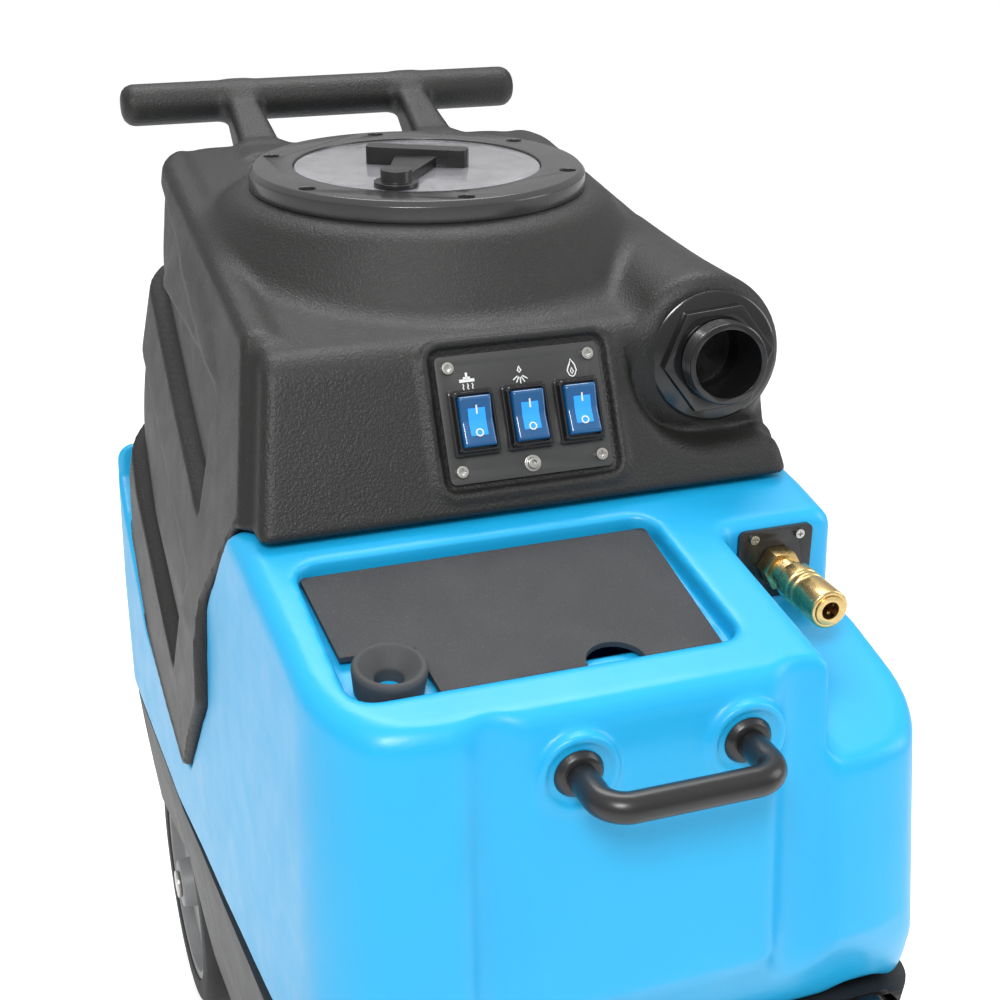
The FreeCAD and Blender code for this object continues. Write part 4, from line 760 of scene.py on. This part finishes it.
def finished(name, bm, degrees=35):
    bmesh.ops.recalc_face_normals(bm, faces=bm.faces)
    mesh = bpy.data.meshes.new(name)
    bm.to_mesh(mesh)
    bm.free()
    smooth_by_angle(mesh, degrees)
    return link(name, mesh)


def switch_frames():
    """Stepped rubber boots round the rockers."""
    bm = bmesh.new()
    steps = [(0.0165, 0.0230, 0.0022, -0.001), (0.0165, 0.0230, 0.0022, 0.0020),
             (0.0160, 0.0225, 0.0022, 0.0026),
             (0.0150, 0.0212, 0.0026, 0.0028), (0.0147, 0.0209, 0.0028, 0.0078),
             (0.0141, 0.0203, 0.0030, 0.0086),
             (0.0131, 0.0193, 0.0030, 0.0086), (0.0126, 0.0188, 0.0026, 0.0080),
             (0.0126, 0.0188, 0.0026, 0.0012)]
    for x in (-SWITCH_PITCH, 0, SWITCH_PITCH):
        loops = [plate_loop(bm, x, SWITCH_ROW, *step) for step in steps]
        for first, second in zip(loops, loops[1:]):
            bridge(bm, first, second)
        bm.faces.new(loops[0])
        bm.faces.new(loops[-1])
    return finished("switch_boots", bm)


def rocker_cap(name, x):
    """Translucent cap: two slopes that meet in a shallow valley, with rounded shoulders."""
    bm = bmesh.new()
    rows = []
    for k in range(25):
        up = -CAP_HALF + 2 * CAP_HALF * k / 24
        lift = cap_level(up)
        edge = min(CAP_HALF - abs(up), 0.0016) / 0.0016
        lift -= 0.0016 * (1 - math.sqrt(max(0.0, 1 - (1 - edge) ** 2)))
        row = []
        for half, drop in ((0.0116, 0.0095), (0.0116, 0.0012), (0.0108, 0.0003), (0.0100, 0.0)):
            row.append(bm.verts.new(on_panel(x - half, up + SWITCH_ROW, lift - drop)))
        for half, drop in ((0.0100, 0.0), (0.0108, 0.0003), (0.0116, 0.0012), (0.0116, 0.0095)):
            row.append(bm.verts.new(on_panel(x + half, up + SWITCH_ROW, lift - drop)))
        rows.append(row)
    for first, second in zip(rows, rows[1:]):
        bridge(bm, first, second)
    bm.faces.new(rows[0])
    bm.faces.new(rows[-1])
    return finished(name, bm, 50)


def stroke(bm, points, width, out, closed=False):
    """Raised printed line on the panel through (x, up) points."""
    count = len(points)
    rings = []
    for i, (x, up) in enumerate(points):
        before = points[i - 1] if i or closed else points[i]
        after = points[(i + 1) % count] if i < count - 1 or closed else points[i]
        dx, du = after[0] - before[0], after[1] - before[1]
        size = math.hypot(dx, du) or 1.0
        nx, nu = -du / size * width / 2, dx / size * width / 2
        level = out(up) if callable(out) else out
        rings.append([bm.verts.new(on_panel(x + sx * nx, up + sx * nu, level + lift)) for sx, lift in (
            (1, -PRINT_THICK), (1, PRINT_THICK), (-1, PRINT_THICK), (-1, -PRINT_THICK))])
    for i in range(count if closed else count - 1):
        bridge(bm, rings[i], rings[(i + 1) % count])
    if not closed:
        bm.faces.new(rings[0])
        bm.faces.new(rings[-1])


def circle(cx, cu, radius, steps=20):
    angles = [math.radians(360.0 * k / steps) for k in range(steps)]
    return [(cx + radius * math.cos(angle), cu + radius * math.sin(angle)) for angle in angles]


def rocker_marks(name, x):
    """Window of the rocker with its on and off marks."""
    def level(up):
        return cap_level(up - SWITCH_ROW) + 0.0002
    bm = bmesh.new()
    rows = []
    for k in range(9):
        up = -0.013 + 0.019 * k / 8
        rows.append([bm.verts.new(on_panel(x + sx, up, level(up) + lift)) for sx, lift in (
            (-0.0062, -0.0004), (-0.0062, 0.0001), (0.0062, 0.0001), (0.0062, -0.0004))])
    for first, second in zip(rows, rows[1:]):
        bridge(bm, first, second)
    bm.faces.new(rows[0])
    bm.faces.new(rows[-1])
    window = finished(name + "_window", bm)
    bm = bmesh.new()
    stroke(bm, [(x, 0.0020), (x, 0.0080)], 0.0011, lambda up: level(up) + 0.0003)
    stroke(bm, circle(x, -0.0110, 0.0024), 0.0009, lambda up: level(up) + 0.0003, closed=True)
    return window, finished(name + "_marks", bm)


def panel_print():
    """Three pictograms above the rockers: suction head, spray and flame."""
    bm = bmesh.new()
    level = 0.0031 - 0.004 + 0.0002
    top = 0.0285
    for dx in (-0.0034, 0, 0.0034):
        stroke(bm, [(-0.039 + dx, top - 0.0040), (-0.039 + dx + 0.0006, top - 0.0055),
                    (-0.039 + dx, top - 0.0070),
                    (-0.039 + dx + 0.0006, top - 0.0085)], 0.0008, level)
    stroke(bm, [(-0.0445, top - 0.0020), (-0.0335, top - 0.0020)], 0.0022, level)
    stroke(bm, [(-0.0415, top - 0.0005), (-0.0365, top - 0.0005)], 0.0022, level)
    stroke(bm, [(-0.039, top), (-0.039, top + 0.0035)], 0.0016, level)
    stroke(bm, [(0, top + 0.0040), (0.0013, top + 0.0010), (0.0, top - 0.0002), (-0.0013, top + 0.0010)],
           0.0010, level,
           closed=True)
    for tilt in (-55, -28, 0, 28, 55):
        way = math.radians(tilt)
        stroke(bm, [(0.0022 * math.sin(way), top - 0.0015 - 0.0022 * math.cos(way)),
                    (0.0066 * math.sin(way), top - 0.0015 - 0.0066 * math.cos(way))], 0.0008, level)
    flame = [(0.039, top + 0.0050), (0.0415, top + 0.0010), (0.0425, top - 0.0030), (0.0408, top - 0.0066),
             (0.0390, top - 0.0074), (0.0370, top - 0.0064), (0.0356, top - 0.0030), (0.0366, top - 0.0005),
             (0.0376, top + 0.0012)]
    stroke(bm, flame, 0.0009, level, closed=True)
    stroke(bm, [(0.039, top - 0.0010), (0.0402, top - 0.0036), (0.0390, top - 0.0056),
                (0.0380, top - 0.0036)],
           0.0008, level, closed=True)
    return finished("panel_print", bm)


stand_for(switch_frames(), "switch_bezels", GLOSS_BLACK)
for switch, place in (
        ("rocker_vacuum", -SWITCH_PITCH), ("rocker_pump", 0.0), ("rocker_heater", SWITCH_PITCH)):
    stand_for(rocker_cap(switch + "_cap", place), switch, SWITCH_BLUE)
    window, marks = rocker_marks(switch, place)
    extra(window, body_of[switch], WINDOW_BLUE)
    extra(marks, body_of[switch], PRINT_WHITE)
extra(panel_print(), body_of["switch_plate"], PRINT_WHITE)


# ---------------------------------------------------------------- stage, camera and light

def stage():
    mesh = bpy.data.meshes.new("floor")
    bm = bmesh.new()
    bmesh.ops.create_grid(bm, x_segments=1, y_segments=1, size=14)
    bm.to_mesh(mesh)
    bm.free()
    floor = link("floor", mesh)
    material, tree, bsdf, coords = shader("pale_floor")
    cloud = noise(tree, coords, 0.8, 3.0)
    tree.links.new(mixed(tree, cloud.outputs["Fac"], (0.93, 0.93, 0.93), (0.96, 0.96, 0.96)),
                   bsdf.inputs["Base Color"])
    bsdf.inputs["Roughness"].default_value = 0.85
    bsdf.inputs["Emission Color"].default_value = (1, 1, 1, 1)
    seen = tree.nodes.new("ShaderNodeLightPath")
    tree.links.new(spread(tree, seen.outputs["Is Camera Ray"], 0, 1, 0.14, 0.36),
                   bsdf.inputs["Emission Strength"])
    floor.data.materials.append(material)


def camera():
    """The viewing angle: 20 degrees round to the left and 24 degrees down, close to the front."""
    data = bpy.data.cameras.new("camera")
    data.lens = 58.22
    data.sensor_width = 36
    data.shift_x = 0.0058
    data.shift_y = -0.0027
    azimuth, pitch, roll = math.radians(20.056), math.radians(23.744), math.radians(0.518)
    ahead = Vector((math.sin(azimuth) * math.cos(pitch), math.cos(azimuth) * math.cos(pitch),
                    -math.sin(pitch)))
    right = Vector((math.cos(azimuth), -math.sin(azimuth), 0))
    up = right.cross(ahead)
    tilted_right = right * math.cos(roll) + up * math.sin(roll)
    tilted_up = up * math.cos(roll) - right * math.sin(roll)
    turn = Matrix((tilted_right, tilted_up, -ahead)).transposed().to_4x4()
    eye = bpy.data.objects.new("camera", data)
    eye.matrix_world = Matrix.Translation((-0.3819, -1.1221, 1.1807)) @ turn
    scene.collection.objects.link(eye)
    scene.camera = eye


def area_light(name, place, target, size, power):
    data = bpy.data.lights.new(name, "AREA")
    data.shape = "RECTANGLE"
    data.size, data.size_y = size
    data.energy = power
    lamp = bpy.data.objects.new(name, data)
    lamp.location = place
    lamp.rotation_euler = (Vector(target) - Vector(place)).to_track_quat("-Z", "Y").to_euler()
    scene.collection.objects.link(lamp)


def light():
    world = bpy.data.worlds.new("studio")
    world.use_nodes = True
    tree = world.node_tree
    tree.nodes["Background"].inputs["Color"].default_value = (1, 1, 1, 1)
    seen = tree.nodes.new("ShaderNodeLightPath")
    way = tree.nodes.new("ShaderNodeTexCoord")
    split = tree.nodes.new("ShaderNodeSeparateXYZ")
    tree.links.new(way.outputs["Generated"], split.inputs["Vector"])
    strength = tree.nodes.new("ShaderNodeMix")
    strength.inputs["B"].default_value = 1.0
    tree.links.new(seen.outputs["Is Camera Ray"], strength.inputs["Factor"])
    tree.links.new(spread(tree, split.outputs["Z"], -0.1, 0.9, 0.32, 0.80), strength.inputs["A"])
    tree.links.new(strength.outputs["Result"], tree.nodes["Background"].inputs["Strength"])
    scene.world = world
    area_light("key", (-0.9, -1.9, 2.6), (0, -0.1, 0.6), (0.8, 0.8), 48)
    area_light("top", (0.3, 0.9, 2.7), (0, 0, 0.8), (1.6, 0.9), 30)
    area_light("right", (2.2, -0.9, 1.5), (0, -0.1, 0.6), (1.0, 1.4), 14)
    scene.view_settings.view_transform = "Standard"


stage()
camera()
light()
